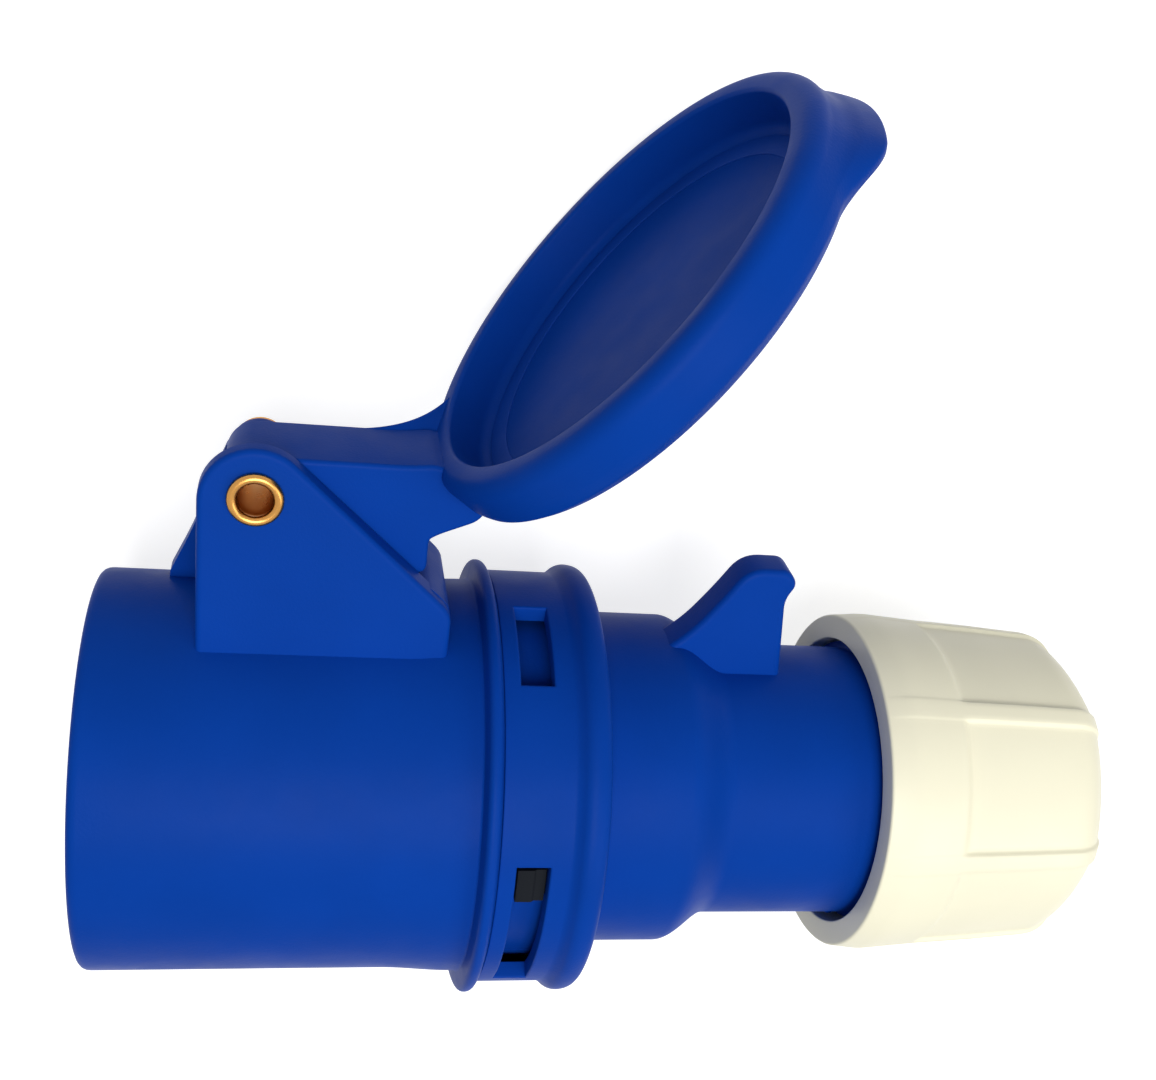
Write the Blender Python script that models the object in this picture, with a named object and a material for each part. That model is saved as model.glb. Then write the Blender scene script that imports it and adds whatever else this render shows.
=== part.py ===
"""A single-phase industrial power connector: the female half of a cable coupler, with a hinged lid.

The connector lies on its side with its lid open. Its axis runs along +X, from the open mouth at x = 0
to the cable end. The hinge stands on the +Y side, with its pin along Z. Sizes are in millimetres.
"""

import math

import bmesh
import bpy
from mathutils import Matrix, Vector

MM = 0.001

# Fits between pieces
SEAT_GAP = 0.3
RUNNING_GAP = 0.4
PIN_CLEARANCE = 0.1

# Front housing: the collar, its bead, and the spigot that plugs into the rear housing
COLLAR_RADIUS = 27.0
COLLAR_WALL = 4.0
COLLAR_LENGTH = 48.9
COLLAR_FLARE = 0.5
FLARE_LENGTH = 10.0
MOUTH_CHAMFER = 1.0
SOCKET_DEPTH = 40.7
RIB_RADIUS = 30.4
FRONT_RIB_WIDTH = 2.5
SPIGOT_LENGTH = 9.2
SPIGOT_BORE = 24.0
SPIGOT_WALL = 2.5
KEYWAY_WIDTH = 7.6
KEYWAY_DEPTH = 2.2

# Hinge bracket on the collar
PIN_X = 20.4
PIN_Y = 45.4
EAR_TIP_RADIUS = 6.8
EAR_TIP_DROP = 0.8
EAR_HALF_WIDTH = 10.5
EAR_DRAFT = 0.07
EAR_REAR_X = 44.9
EAR_REAR_Y = 31.2
FAR_EAR_HALF_WIDTH = 9.9
FAR_EAR_TIP_RADIUS = 3.8
FAR_EAR_DROP = 1.6
FAR_EAR_LEAN = 4.4
FAR_EAR_KNEE = 1.0
ARM_HALF_WIDTH = 6.0

# Hinge rivet
PIN_RADIUS = 2.7
PIN_BORE = 2.15
PIN_HEAD_RADIUS = 3.4
PIN_HEAD_HEIGHT = 0.8
FAR_HEAD_RADIUS = 3.2

# Rear housing: the windowed band, the second bead, the handle, the neck and its thumb fin
BAND_RADIUS = 29.0
BAND_LENGTH = 9.6
BAND_WALL = 2.1
REAR_RIB_WIDTH = 4.2
HANDLE_RADIUS = 23.6
HANDLE_WALL = 3.0
HANDLE_LENGTH = 12.0
SHOULDER_LENGTH = 7.5
NECK_RADIUS = 19.75
NECK_WALL = 3.75
NECK_LENGTH = 33.0
THREAD_RADIUS = 20.4
THREAD_LENGTH = 11.0
FIN_HALF_WIDTH = 2.8
FIN_HEIGHT = 35.9
FIN_FRONT = 13.0
FIN_REAR = 5.9
FIN_TOP = 5.4
FIN_HOOK = 1.2
WINDOW_WIDTH = 4.3
WINDOW_FROM_EDGE = 2.2
SMALL_WINDOW_START = 10.3
SMALL_WINDOW_ANGLE = 21.5
LOCK_WINDOW_START = 78.2
LOCK_WINDOW_ANGLE = 48.0
WINDOW_RAMP_ANGLE = 5.0

# Locking slider in the long window
SLIDER_ANGLE = 9.5
SLIDER_PLAY_ANGLE = 1.4
SLIDER_FOOT = 1.0
SLIDER_PROUD = 1.7
POCKET_DEPTH = 1.2

# Contact carrier
CARRIER_RADIUS = 17.8
CARRIER_SETBACK = 4.0
CARRIER_LENGTH = 54.0
FLANGE_THICKNESS = 5.0
CONTACT_CIRCLE = 10.0
CONTACT_FACE_WALL = 4.0
PIN_HOLE_MARGIN = 0.2
LIVE_PIN_DIAMETER = 5.0
EARTH_PIN_DIAMETER = 7.0
SLEEVE_WALL = 0.85
SLEEVE_LENGTH = 24.0
SPRING_THICKNESS = 0.45
SPRING_WIDTH = 3.0
SPRING_PLACE = 5.0
TERMINAL_LENGTH = 25.0
TERMINAL_SCREW_RADIUS = 1.75
TERMINAL_SCREW_HEAD_RADIUS = 2.7
TERMINAL_SCREW_FROM_END = 5.5
WIRE_BORE = 2.1
COVER_THICKNESS = 2.0
COVER_SCREW_RADIUS = 1.5
COVER_SCREW_HEAD_RADIUS = 2.9
COVER_SCREW_LENGTH = 10.0
SEAL_THICKNESS = 2.2

# Lid
LID_WALL = 3.9
LID_CLEARANCE = 1.1
LID_OVERLAP = 5.0
LID_SEAL_THICKNESS = 1.0
LID_SEAL_WIDTH = 3.6
LID_FLOOR = 2.3
LID_FRONT_ROUND = 2.2
LID_BACK_ROUND = 4.5
LID_REST_ANGLE = 53.5
LID_OFFSET = 0.7
TAB_LENGTH = 6.8
TAB_SINK = 1.4
TAB_HALF_ANGLE = 26.0
TAB_THICKNESS = 3.0
ARM_EYE_RADIUS = 4.1
ARM_TOP = 4.0
ARM_UNDERSIDE = 5.4
ARM_BOTTOM = 10.6
ARM_REAR = 21.2

# Cable gland
NUT_OVERLAP = 13.1
NUT_LENGTH = 35.6
NUT_RADIUS = 25.1
NUT_BORE = 21.1
NUT_FRONT_ROUND = 1.0
NUT_COLLAR_LENGTH = 11.6
NUT_GRIP_RADIUS = 24.3
NUT_PANELS = 7
NUT_RIDGE_FIRST = 28.2
NUT_RIDGE_ANGLE = 5.6
NUT_PANEL_DEPTH = 0.45
NUT_PANEL_FLAT = 0.55
NUT_DOME_LENGTH = 6.6
NUT_END_RADIUS = 15.5
NUT_END_WALL = 7.9
CABLE_HOLE_RADIUS = 9.0
CABLE_HOLE_FLARE = 2.0
GLAND_TRAVEL = 4.5
GLAND_SEAL_LENGTH = 16.0
GLAND_SEAL_BORE = 6.5
CAGE_FLANGE = 2.0
CAGE_LENGTH = 7.7
CAGE_BORE = 8.0
CAGE_END_RADIUS = 14.0
CAGE_SLOTS = 8
CAGE_SLOT_WIDTH = 1.2
THRUST_WASHER_THICKNESS = 1.0

# Roundness
ROUND_STEPS = 48
INNER_STEPS = 28
MEDIUM_STEPS = 18
SMALL_STEPS = 12
LID_STEPS = 56

# Places that follow from the sizes
RIB_END_X = COLLAR_LENGTH + FRONT_RIB_WIDTH
BAND_START_X = RIB_END_X + SEAT_GAP
BAND_END_X = BAND_START_X + BAND_LENGTH
REAR_RIB_END_X = BAND_END_X + REAR_RIB_WIDTH
HANDLE_END_X = REAR_RIB_END_X + HANDLE_LENGTH
NECK_START_X = HANDLE_END_X + SHOULDER_LENGTH
NECK_END_X = NECK_START_X + NECK_LENGTH
SPIGOT_END_X = RIB_END_X + SPIGOT_LENGTH
EAR_BASE_Y = COLLAR_RADIUS - 0.75 * COLLAR_WALL
LID_CENTER = PIN_Y + LID_OFFSET
SPIGOT_RADIUS = SPIGOT_BORE + SPIGOT_WALL
SKIRT_RADIUS = SPIGOT_BORE - RUNNING_GAP
SKIRT_BORE = SKIRT_RADIUS - HANDLE_WALL
NECK_BORE = NECK_RADIUS - NECK_WALL
FLANGE_FRONT_X = SOCKET_DEPTH + SEAT_GAP
FLANGE_REAR_X = FLANGE_FRONT_X + FLANGE_THICKNESS
SEAL_FRONT_X = FLANGE_REAR_X + SEAT_GAP
SKIRT_START_X = SEAL_FRONT_X + SEAL_THICKNESS + SEAT_GAP
CARRIER_REAR_X = CARRIER_SETBACK + CARRIER_LENGTH
SLEEVE_FRONT_X = CARRIER_SETBACK + CONTACT_FACE_WALL + SEAT_GAP
CONTACT_REAR_X = CARRIER_REAR_X
WINDOW_START_X = BAND_START_X + WINDOW_FROM_EDGE
SLOT_HALF_WIDTH = ARM_HALF_WIDTH + SEAT_GAP
LID_RECESS_RADIUS = COLLAR_RADIUS + LID_CLEARANCE
LID_RADIUS = LID_RECESS_RADIUS + LID_WALL
LID_DEPTH = LID_OVERLAP + 2 * SEAT_GAP + LID_SEAL_THICKNESS
LID_THICKNESS = LID_DEPTH + LID_FLOOR
NUT_FRONT_X = NECK_END_X - NUT_OVERLAP
NUT_END_X = NUT_FRONT_X + NUT_LENGTH
NUT_WALL_X = NUT_END_X - NUT_END_WALL
WASHER_FRONT_X = NUT_WALL_X - SEAT_GAP - THRUST_WASHER_THICKNESS
CAGE_REAR_X = WASHER_FRONT_X - SEAT_GAP
CAGE_FRONT_X = CAGE_REAR_X - CAGE_LENGTH
GLAND_SEAL_REAR_X = CAGE_FRONT_X - SEAT_GAP
REST_HEIGHT = max(LID_RADIUS, RIB_RADIUS)


def material(name, color, roughness, metallic=0.0):
    """A Principled material of one colour."""
    made = bpy.data.materials.new(name)
    made.use_nodes = True
    shader = made.node_tree.nodes["Principled BSDF"]
    shader.inputs["Base Color"].default_value = (*color, 1.0)
    shader.inputs["Roughness"].default_value = roughness
    shader.inputs["Metallic"].default_value = metallic
    made.diffuse_color = (*color, 1.0)
    return made


def finish(name, mesh_builder, parent, finish_material=None):
    """The object of a finished bmesh, in metres, with its normals outward and its round faces smooth."""
    bmesh.ops.remove_doubles(mesh_builder, verts=mesh_builder.verts, dist=1e-5)
    bmesh.ops.recalc_face_normals(mesh_builder, faces=mesh_builder.faces)
    mesh = bpy.data.meshes.new(name)
    mesh_builder.transform(Matrix.Scale(MM, 4))
    mesh_builder.to_mesh(mesh)
    mesh_builder.free()
    mesh.shade_smooth()
    mesh.set_sharp_from_angle(angle=math.radians(35))
    made = bpy.data.objects.new(name, mesh)
    bpy.context.collection.objects.link(made)
    made.parent = parent
    if finish_material is None:
        made.hide_render = True
        made.display_type = "WIRE"
    else:
        mesh.materials.append(finish_material)
    return made


def arc(center, radius, start, end, steps):
    """Points along an arc in degrees, both ends included."""
    points = []
    for step in range(steps + 1):
        angle = math.radians(start + (end - start) * step / steps)
        points.append((center[0] + radius * math.cos(angle), center[1] + radius * math.sin(angle)))
    return points


def eased(start, end, steps):
    """Points of an S-curve from one point to another that leaves and arrives along X."""
    points = []
    for step in range(steps + 1):
        share = step / steps
        rise = share * share * (3 - 2 * share)
        points.append((start[0] + (end[0] - start[0]) * share, start[1] + (end[1] - start[1]) * rise))
    return points


def spun(outline, segments=ROUND_STEPS):
    """A closed outline of (x, radius) points, turned once round the X axis."""
    builder = bmesh.new()
    verts = [builder.verts.new((x, radius, 0)) for x, radius in outline]
    edges = []
    for i, (_x, radius) in enumerate(outline):
        if radius > 0 or outline[i - 1][1] > 0:
            edges.append(builder.edges.new((verts[i - 1], verts[i])))
    bmesh.ops.spin(
        builder,
        geom=verts + edges,
        cent=(0, 0, 0),
        axis=(1, 0, 0),
        angle=2 * math.pi,
        steps=segments,
        use_merge=True,
    )
    bmesh.ops.remove_doubles(builder, verts=builder.verts, dist=1e-5)
    middle = [vert for vert in builder.verts if math.hypot(vert.co.y, vert.co.z) < 1e-4]
    bmesh.ops.dissolve_verts(builder, verts=middle)
    return builder


def lofted(rings, closed_along):
    """Faces between successive rings of points. Its two ends are capped, or joined when closed_along."""
    builder = bmesh.new()
    rows = [[builder.verts.new(point) for point in ring] for ring in rings]
    pairs = list(zip(rows, rows[1:]))
    if closed_along:
        pairs.append((rows[-1], rows[0]))
    for row, following in pairs:
        for i in range(len(row)):
            builder.faces.new((row[i - 1], row[i], following[i], following[i - 1]))
    if not closed_along:
        builder.faces.new(rows[0])
        builder.faces.new(rows[-1])
    return builder


def sector(outline, start, end, steps):
    """An outline of (x, radius) points swept round X between two angles in degrees from +Y to +Z."""
    rings = []
    for step in range(steps + 1):
        angle = math.radians(start + (end - start) * step / steps)
        rings.append([(x, radius * math.cos(angle), radius * math.sin(angle)) for x, radius in outline])
    return lofted(rings, closed_along=False)


def plate(outline, low, high):
    """An outline of (x, y) points between two heights, each a function of the point's y."""
    rings = [[(x, y, height(y)) for x, y in outline] for height in (low, high)]
    return lofted(rings, closed_along=False)


def flat(height):
    return lambda y: height


def rod(radius, start, end, segments=SMALL_STEPS):
    """A solid cylinder along X between two places."""
    return spun([(start, 0), (end, 0), (end, radius), (start, radius)], segments)


def combine(target, other, operation):
    """Adds or cuts another shape with a live Boolean."""
    modifier = target.modifiers.new(other.name, "BOOLEAN")
    modifier.operation = operation
    modifier.solver = "EXACT"
    modifier.object = other


def cut(target, name, builder, place=None):
    """Cuts a named shape from a piece, after moving the shape by a matrix in millimetres."""
    if place is not None:
        builder.transform(place)
    combine(target, finish("cut_" + name, builder, target.parent), "DIFFERENCE")


def add(target, name, builder, place=None):
    """Joins a named shape to a piece."""
    if place is not None:
        builder.transform(place)
    combine(target, finish("add_" + name, builder, target.parent), "UNION")


def turned(angle):
    """A turn round X, in degrees from +Y to +Z."""
    return Matrix.Rotation(math.radians(angle), 4, "X")


def front_rib():
    """The round bead that ends the collar."""
    crown = RIB_RADIUS - FRONT_RIB_WIDTH / 2
    middle = COLLAR_LENGTH + FRONT_RIB_WIDTH / 2
    return arc((middle, crown), FRONT_RIB_WIDTH / 2, 180, 30, 5)


def front_housing(parent, blue):
    """The collar with its bead, spigot, keyway and hinge bracket."""
    bore = COLLAR_RADIUS - COLLAR_WALL
    outline = [
        (0, bore + MOUTH_CHAMFER / 2),
        (0, COLLAR_RADIUS - MOUTH_CHAMFER),
        (MOUTH_CHAMFER, COLLAR_RADIUS),
        *eased((COLLAR_LENGTH - FLARE_LENGTH, COLLAR_RADIUS), (COLLAR_LENGTH, COLLAR_RADIUS + COLLAR_FLARE), 3),
        *front_rib(),
        (RIB_END_X, BAND_RADIUS - SEAT_GAP),
        (RIB_END_X, SPIGOT_RADIUS),
        (SPIGOT_END_X, SPIGOT_RADIUS),
        (SPIGOT_END_X, SPIGOT_BORE),
        (SOCKET_DEPTH, SPIGOT_BORE),
        (SOCKET_DEPTH, bore),
        (MOUTH_CHAMFER / 2, bore),
    ]
    housing = finish("front_housing", spun(outline), parent, blue)
    hinge_bracket(housing)
    keyway = [
        (-1, -bore - KEYWAY_DEPTH),
        (SOCKET_DEPTH - RUNNING_GAP, -bore - KEYWAY_DEPTH),
        (SOCKET_DEPTH - RUNNING_GAP, -bore / 2 - CARRIER_RADIUS / 2),
        (-1, -bore / 2 - CARRIER_RADIUS / 2),
    ]
    cut(housing, "keyway", plate(keyway, flat(-KEYWAY_WIDTH / 2), flat(KEYWAY_WIDTH / 2)))
    slider_pocket(housing)
    return housing


def ear_half(width):
    """Half the bracket's width at each height, a little less towards the tip."""
    return lambda y: width - EAR_DRAFT * (y - EAR_BASE_Y)


def ear_tip(center, radius):
    """The round tip of an ear, from its front to where its straight back slope touches it."""
    run = EAR_REAR_X - center[0]
    drop = center[1] - EAR_REAR_Y
    tangent = math.degrees(math.acos(radius / math.hypot(run, drop)) - math.atan2(drop, run))
    return arc(center, radius, 180, tangent, 12)


def hinge_bracket(housing):
    """A broad near ear, a lower far ear with a leaning front, and the slot between them for the lid's arm."""
    front = PIN_X - EAR_TIP_RADIUS
    near = [
        (EAR_REAR_X, EAR_BASE_Y),
        (front, EAR_BASE_Y),
        *ear_tip((PIN_X, PIN_Y - EAR_TIP_DROP), EAR_TIP_RADIUS),
        (EAR_REAR_X, EAR_REAR_Y),
    ]
    add(housing, "near_ear", plate(near, flat(1 - SLOT_HALF_WIDTH), ear_half(EAR_HALF_WIDTH)))
    far = [
        (EAR_REAR_X - SEAT_GAP, EAR_BASE_Y - SEAT_GAP),
        (front - FAR_EAR_LEAN, EAR_BASE_Y - SEAT_GAP),
        (front - FAR_EAR_LEAN, COLLAR_RADIUS),
        (front - FAR_EAR_KNEE, (COLLAR_RADIUS + PIN_Y) / 2 - FAR_EAR_DROP),
        (front, PIN_Y - 1.5 * FAR_EAR_TIP_RADIUS),
        *ear_tip((PIN_X, PIN_Y), FAR_EAR_TIP_RADIUS)[1:],
        (EAR_REAR_X - SEAT_GAP, EAR_REAR_Y - FAR_EAR_DROP),
    ]
    outer = ear_half(FAR_EAR_HALF_WIDTH)
    add(housing, "far_ear", plate(far, lambda y: -outer(y), flat(2 - SLOT_HALF_WIDTH)))
    floor = PIN_Y - math.hypot(ARM_EYE_RADIUS / 2, ARM_BOTTOM) - RUNNING_GAP
    low = COLLAR_RADIUS + RUNNING_GAP
    slot_front = front - FAR_EAR_LEAN - 1
    slot = [
        (slot_front, low),
        (PIN_X - ARM_EYE_RADIUS, low),
        (PIN_X, floor),
        (EAR_REAR_X + 1, floor),
        (EAR_REAR_X + 1, PIN_Y + 2 * EAR_TIP_RADIUS),
        (slot_front, PIN_Y + 2 * EAR_TIP_RADIUS),
    ]
    cut(housing, "arm_slot", plate(slot, flat(-SLOT_HALF_WIDTH), flat(SLOT_HALF_WIDTH)))
    hole = rod(PIN_RADIUS + PIN_CLEARANCE, -EAR_HALF_WIDTH - 1, EAR_HALF_WIDTH + 1, MEDIUM_STEPS)
    cut(housing, "pin_hole", hole, along_pin())


def along_pin():
    """Turns a shape made along X to stand along the hinge pin."""
    return Matrix.Translation((PIN_X, PIN_Y, 0)) @ Matrix.Rotation(math.radians(-90), 4, "Y")


def slider_pocket(housing):
    """The shallow track in the spigot that holds the locking slider's foot."""
    start = LOCK_WINDOW_START + SLIDER_PLAY_ANGLE / 4
    end = LOCK_WINDOW_START + LOCK_WINDOW_ANGLE - SLIDER_PLAY_ANGLE
    low = SPIGOT_RADIUS - POCKET_DEPTH
    left = WINDOW_START_X - SLIDER_FOOT
    right = WINDOW_START_X + WINDOW_WIDTH + SLIDER_FOOT
    outline = [(left, low), (right, low), (right, BAND_RADIUS), (left, BAND_RADIUS)]
    cut(housing, "slider_track", sector(outline, start, end, 8))


def rear_rib():
    """The larger bead behind the band: a short rise, a round crown and a square back."""
    radius = REAR_RIB_WIDTH / 2
    return arc((BAND_END_X + radius, RIB_RADIUS - radius), radius, 150, 10, 6)


def rear_housing(parent, blue):
    """The band, second bead, handle, shoulder and threaded neck, with the skirt that clamps the seal."""
    band_bore = BAND_RADIUS - BAND_WALL
    outline = [
        (BAND_START_X, band_bore),
        (BAND_START_X, BAND_RADIUS),
        (BAND_END_X, BAND_RADIUS),
        *rear_rib(),
        (REAR_RIB_END_X, HANDLE_RADIUS),
        *eased((HANDLE_END_X, HANDLE_RADIUS), (NECK_START_X, NECK_RADIUS), 6),
        (NECK_END_X - THREAD_LENGTH, NECK_RADIUS),
        (NECK_END_X - THREAD_LENGTH + THREAD_RADIUS - NECK_RADIUS, THREAD_RADIUS),
        (NECK_END_X - MOUTH_CHAMFER, THREAD_RADIUS),
        (NECK_END_X, THREAD_RADIUS - MOUTH_CHAMFER),
        (NECK_END_X, NECK_BORE),
        (NECK_START_X, NECK_BORE),
        (HANDLE_END_X - HANDLE_WALL, HANDLE_RADIUS - HANDLE_WALL),
        (REAR_RIB_END_X, HANDLE_RADIUS - HANDLE_WALL),
        (BAND_END_X, SKIRT_BORE),
        (SKIRT_START_X, SKIRT_BORE),
        (SKIRT_START_X, SKIRT_RADIUS),
        (SPIGOT_END_X + SEAT_GAP, SKIRT_RADIUS),
        (SPIGOT_END_X + SEAT_GAP, band_bore),
    ]
    housing = finish("rear_housing", spun(outline), parent, blue)
    add(housing, "thumb_fin", thumb_fin())
    for count in range(2):
        start = SMALL_WINDOW_START + 180 * count
        cut(housing, f"window_{count}", window(start, SMALL_WINDOW_ANGLE, 6))
        cut(housing, f"window_ramp_{count}", window_ramp(start))
    cut(housing, "lock_window", window(LOCK_WINDOW_START, LOCK_WINDOW_ANGLE, 8))
    return housing


def window(start, angle, steps):
    """A cutter for one rectangular opening in the band."""
    low = BAND_RADIUS - BAND_WALL - SEAT_GAP / 2
    high = BAND_RADIUS + 1
    end_x = WINDOW_START_X + WINDOW_WIDTH
    outline = [(WINDOW_START_X, low), (end_x, low), (end_x, high), (WINDOW_START_X, high)]
    return sector(outline, start, start + angle, steps)


def window_ramp(start):
    """A wedge that slopes from the band's surface into the upper end of a window."""
    end_x = WINDOW_START_X + WINDOW_WIDTH
    rings = []
    for step in range(3):
        share = step / 2
        angle = math.radians(start - WINDOW_RAMP_ANGLE + (WINDOW_RAMP_ANGLE + 1) * share)
        low = BAND_RADIUS + 0.05 - (BAND_WALL / 2) * share
        corners = [(WINDOW_START_X, low), (end_x, low), (end_x, BAND_RADIUS + 1), (WINDOW_START_X, BAND_RADIUS + 1)]
        rings.append([(x, radius * math.cos(angle), radius * math.sin(angle)) for x, radius in corners])
    return lofted(rings, closed_along=False)


def thumb_fin():
    """The fin that a thumb pulls: a hollow front slope, a flat top and a small hook over its back."""
    front = NECK_START_X + FIN_REAR - FIN_FRONT - FIN_TOP / 3
    rear = NECK_START_X + FIN_REAR
    top_start = rear - FIN_TOP
    slope = []
    for step in range(9):
        share = step / 8
        rise = share ** 1.7
        slope.append((front + (top_start - front) * share, HANDLE_RADIUS + (FIN_HEIGHT - HANDLE_RADIUS) * rise))
    outline = [
        (rear, NECK_RADIUS - NECK_WALL / 2),
        (front, HANDLE_RADIUS - HANDLE_WALL / 2),
        *slope,
        (rear + FIN_HOOK / 2, FIN_HEIGHT),
        (rear + FIN_HOOK, FIN_HEIGHT - FIN_HOOK / 2),
        (rear + FIN_HOOK, FIN_HEIGHT - 2 * FIN_HOOK),
        (rear, FIN_HEIGHT - 3 * FIN_HOOK),
    ]
    return plate(outline, flat(-FIN_HALF_WIDTH), flat(FIN_HALF_WIDTH))


def locking_slider(parent, black):
    """The small catch in the long window: a foot under the band and a ridged block that shows through."""
    foot_low = SPIGOT_RADIUS - POCKET_DEPTH + SEAT_GAP
    foot_high = BAND_RADIUS - BAND_WALL - SEAT_GAP
    block_high = BAND_RADIUS - BAND_WALL + SLIDER_PROUD - SEAT_GAP
    start_x = WINDOW_START_X + SEAT_GAP
    end_x = WINDOW_START_X + WINDOW_WIDTH - SEAT_GAP
    foot = SLIDER_FOOT - SEAT_GAP
    ridge_x = start_x + 0.6 * (end_x - start_x)
    outline = [
        (start_x - foot - SEAT_GAP, foot_low),
        (end_x + foot + SEAT_GAP, foot_low),
        (end_x + foot + SEAT_GAP, foot_high),
        (end_x, foot_high),
        (end_x, block_high - SEAT_GAP),
        (ridge_x, block_high - SEAT_GAP),
        (ridge_x - SEAT_GAP, block_high),
        (start_x, block_high),
        (start_x, foot_high),
        (start_x - foot - SEAT_GAP, foot_high),
    ]
    start = LOCK_WINDOW_START + SLIDER_PLAY_ANGLE
    return finish("locking_slider", sector(outline, start, start + SLIDER_ANGLE, 4), parent, black)


def contact_places():
    """Name, angle from +Y and pin diameter of each contact. The earth contact faces the keyway."""
    return (
        ("earth", 180, EARTH_PIN_DIAMETER),
        ("line", 60, LIVE_PIN_DIAMETER),
        ("neutral", -60, LIVE_PIN_DIAMETER),
    )


def contact_axis(angle):
    """Carries a shape made round the X axis to a contact's place, its own +Y facing outwards."""
    return turned(angle) @ Matrix.Translation((0, CONTACT_CIRCLE, 0))


def spring_radius(pin_diameter):
    return pin_diameter / 2 + SLEEVE_WALL + SEAT_GAP + SPRING_THICKNESS


def chamber_radius(pin_diameter):
    return spring_radius(pin_diameter) + SEAT_GAP


def contact_carrier(parent, black):
    """The insulating body with one stepped chamber for each contact, and a flange that closes the socket."""
    outline = [
        (CARRIER_SETBACK, 0),
        (CARRIER_SETBACK, CARRIER_RADIUS - MOUTH_CHAMFER),
        (CARRIER_SETBACK + MOUTH_CHAMFER, CARRIER_RADIUS),
        (FLANGE_FRONT_X, CARRIER_RADIUS),
        (FLANGE_FRONT_X, SPIGOT_BORE - SEAT_GAP),
        (FLANGE_REAR_X, SPIGOT_BORE - SEAT_GAP),
        (FLANGE_REAR_X, CARRIER_RADIUS),
        (CARRIER_REAR_X, CARRIER_RADIUS),
        (CARRIER_REAR_X, 0),
    ]
    carrier = finish("contact_carrier", spun(outline, INNER_STEPS), parent, black)
    for name, angle, pin in contact_places():
        place = contact_axis(angle)
        hole = rod(pin / 2 + PIN_HOLE_MARGIN, CARRIER_SETBACK - 1, CARRIER_REAR_X + 1, MEDIUM_STEPS)
        cut(carrier, name + "_pin_hole", hole, place)
        chamber = rod(chamber_radius(pin), SLEEVE_FRONT_X - SEAT_GAP, CARRIER_REAR_X + 1, MEDIUM_STEPS)
        cut(carrier, name + "_chamber", chamber, place)
        access = rod(TERMINAL_SCREW_HEAD_RADIUS + SEAT_GAP, 0, CARRIER_RADIUS, SMALL_STEPS)
        cut(carrier, name + "_screw_access", access, place @ screw_place())
    hole = rod(COVER_SCREW_RADIUS + SEAT_GAP, CARRIER_REAR_X - COVER_SCREW_LENGTH, CARRIER_REAR_X + 1)
    cut(carrier, "cover_screw_hole", hole)
    return carrier


def screw_place():
    """Turns a shape made along X to point outwards through a contact's terminal."""
    return Matrix.Translation((CONTACT_REAR_X - TERMINAL_SCREW_FROM_END, 0, 0)) @ Matrix.Rotation(
        math.radians(90), 4, "Z"
    )


def contact(parent, brass, name, angle, pin):
    """A turned sleeve for the plug's pin, with a solid terminal behind it that takes the wire."""
    bore = pin / 2
    sleeve = bore + SLEEVE_WALL
    body = chamber_radius(pin) - SEAT_GAP
    terminal_x = CONTACT_REAR_X - TERMINAL_LENGTH
    outline = [
        (SLEEVE_FRONT_X, bore + SLEEVE_WALL / 3),
        (SLEEVE_FRONT_X + SLEEVE_WALL, sleeve),
        (terminal_x, sleeve),
        (terminal_x, body),
        (CONTACT_REAR_X, body),
        (CONTACT_REAR_X, WIRE_BORE),
        (CONTACT_REAR_X - 2 * TERMINAL_SCREW_FROM_END, WIRE_BORE),
        (CONTACT_REAR_X - 2 * TERMINAL_SCREW_FROM_END, 0),
        (SLEEVE_FRONT_X + SLEEVE_LENGTH, 0),
        (SLEEVE_FRONT_X + SLEEVE_LENGTH, bore),
        (SLEEVE_FRONT_X + SLEEVE_WALL / 2, bore),
    ]
    builder = spun(outline, MEDIUM_STEPS)
    builder.transform(contact_axis(angle))
    made = finish(name + "_contact", builder, parent, brass)
    hole = rod(TERMINAL_SCREW_RADIUS + SEAT_GAP, 0, 2 * body, SMALL_STEPS)
    cut(made, name + "_screw_hole", hole, contact_axis(angle) @ screw_place())
    return made


def contact_spring(parent, steel, name, angle, pin):
    """The steel ring that presses the slit sleeve onto the pin."""
    inner = pin / 2 + SLEEVE_WALL + SEAT_GAP
    start = SLEEVE_FRONT_X + SPRING_PLACE
    end = start + SPRING_WIDTH
    outer = spring_radius(pin)
    builder = spun([(start, inner), (start, outer), (end, outer), (end, inner)], MEDIUM_STEPS)
    builder.transform(contact_axis(angle))
    return finish(name + "_contact_spring", builder, parent, steel)


def terminal_screw(parent, steel, name, angle, pin):
    """The screw that clamps the wire, with a driver slot in its head."""
    body = chamber_radius(pin) - SEAT_GAP
    head = body + SEAT_GAP
    top = CARRIER_RADIUS - CONTACT_CIRCLE - SEAT_GAP
    outline = [
        (SEAT_GAP, 0),
        (SEAT_GAP, TERMINAL_SCREW_RADIUS),
        (head, TERMINAL_SCREW_RADIUS),
        (head, TERMINAL_SCREW_HEAD_RADIUS),
        (top, TERMINAL_SCREW_HEAD_RADIUS),
        (top, 0),
    ]
    place = contact_axis(angle) @ screw_place()
    builder = spun(outline, SMALL_STEPS)
    builder.transform(place)
    made = finish(name + "_terminal_screw", builder, parent, steel)
    reach = TERMINAL_SCREW_HEAD_RADIUS + 1
    width = TERMINAL_SCREW_RADIUS / 2
    depth = (top - head) / 2
    slot = plate(
        [(top - depth, -reach), (top + 1, -reach), (top + 1, reach), (top - depth, reach)],
        flat(-width / 2),
        flat(width / 2),
    )
    cut(made, name + "_driver_slot", slot, place)
    return made


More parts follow.
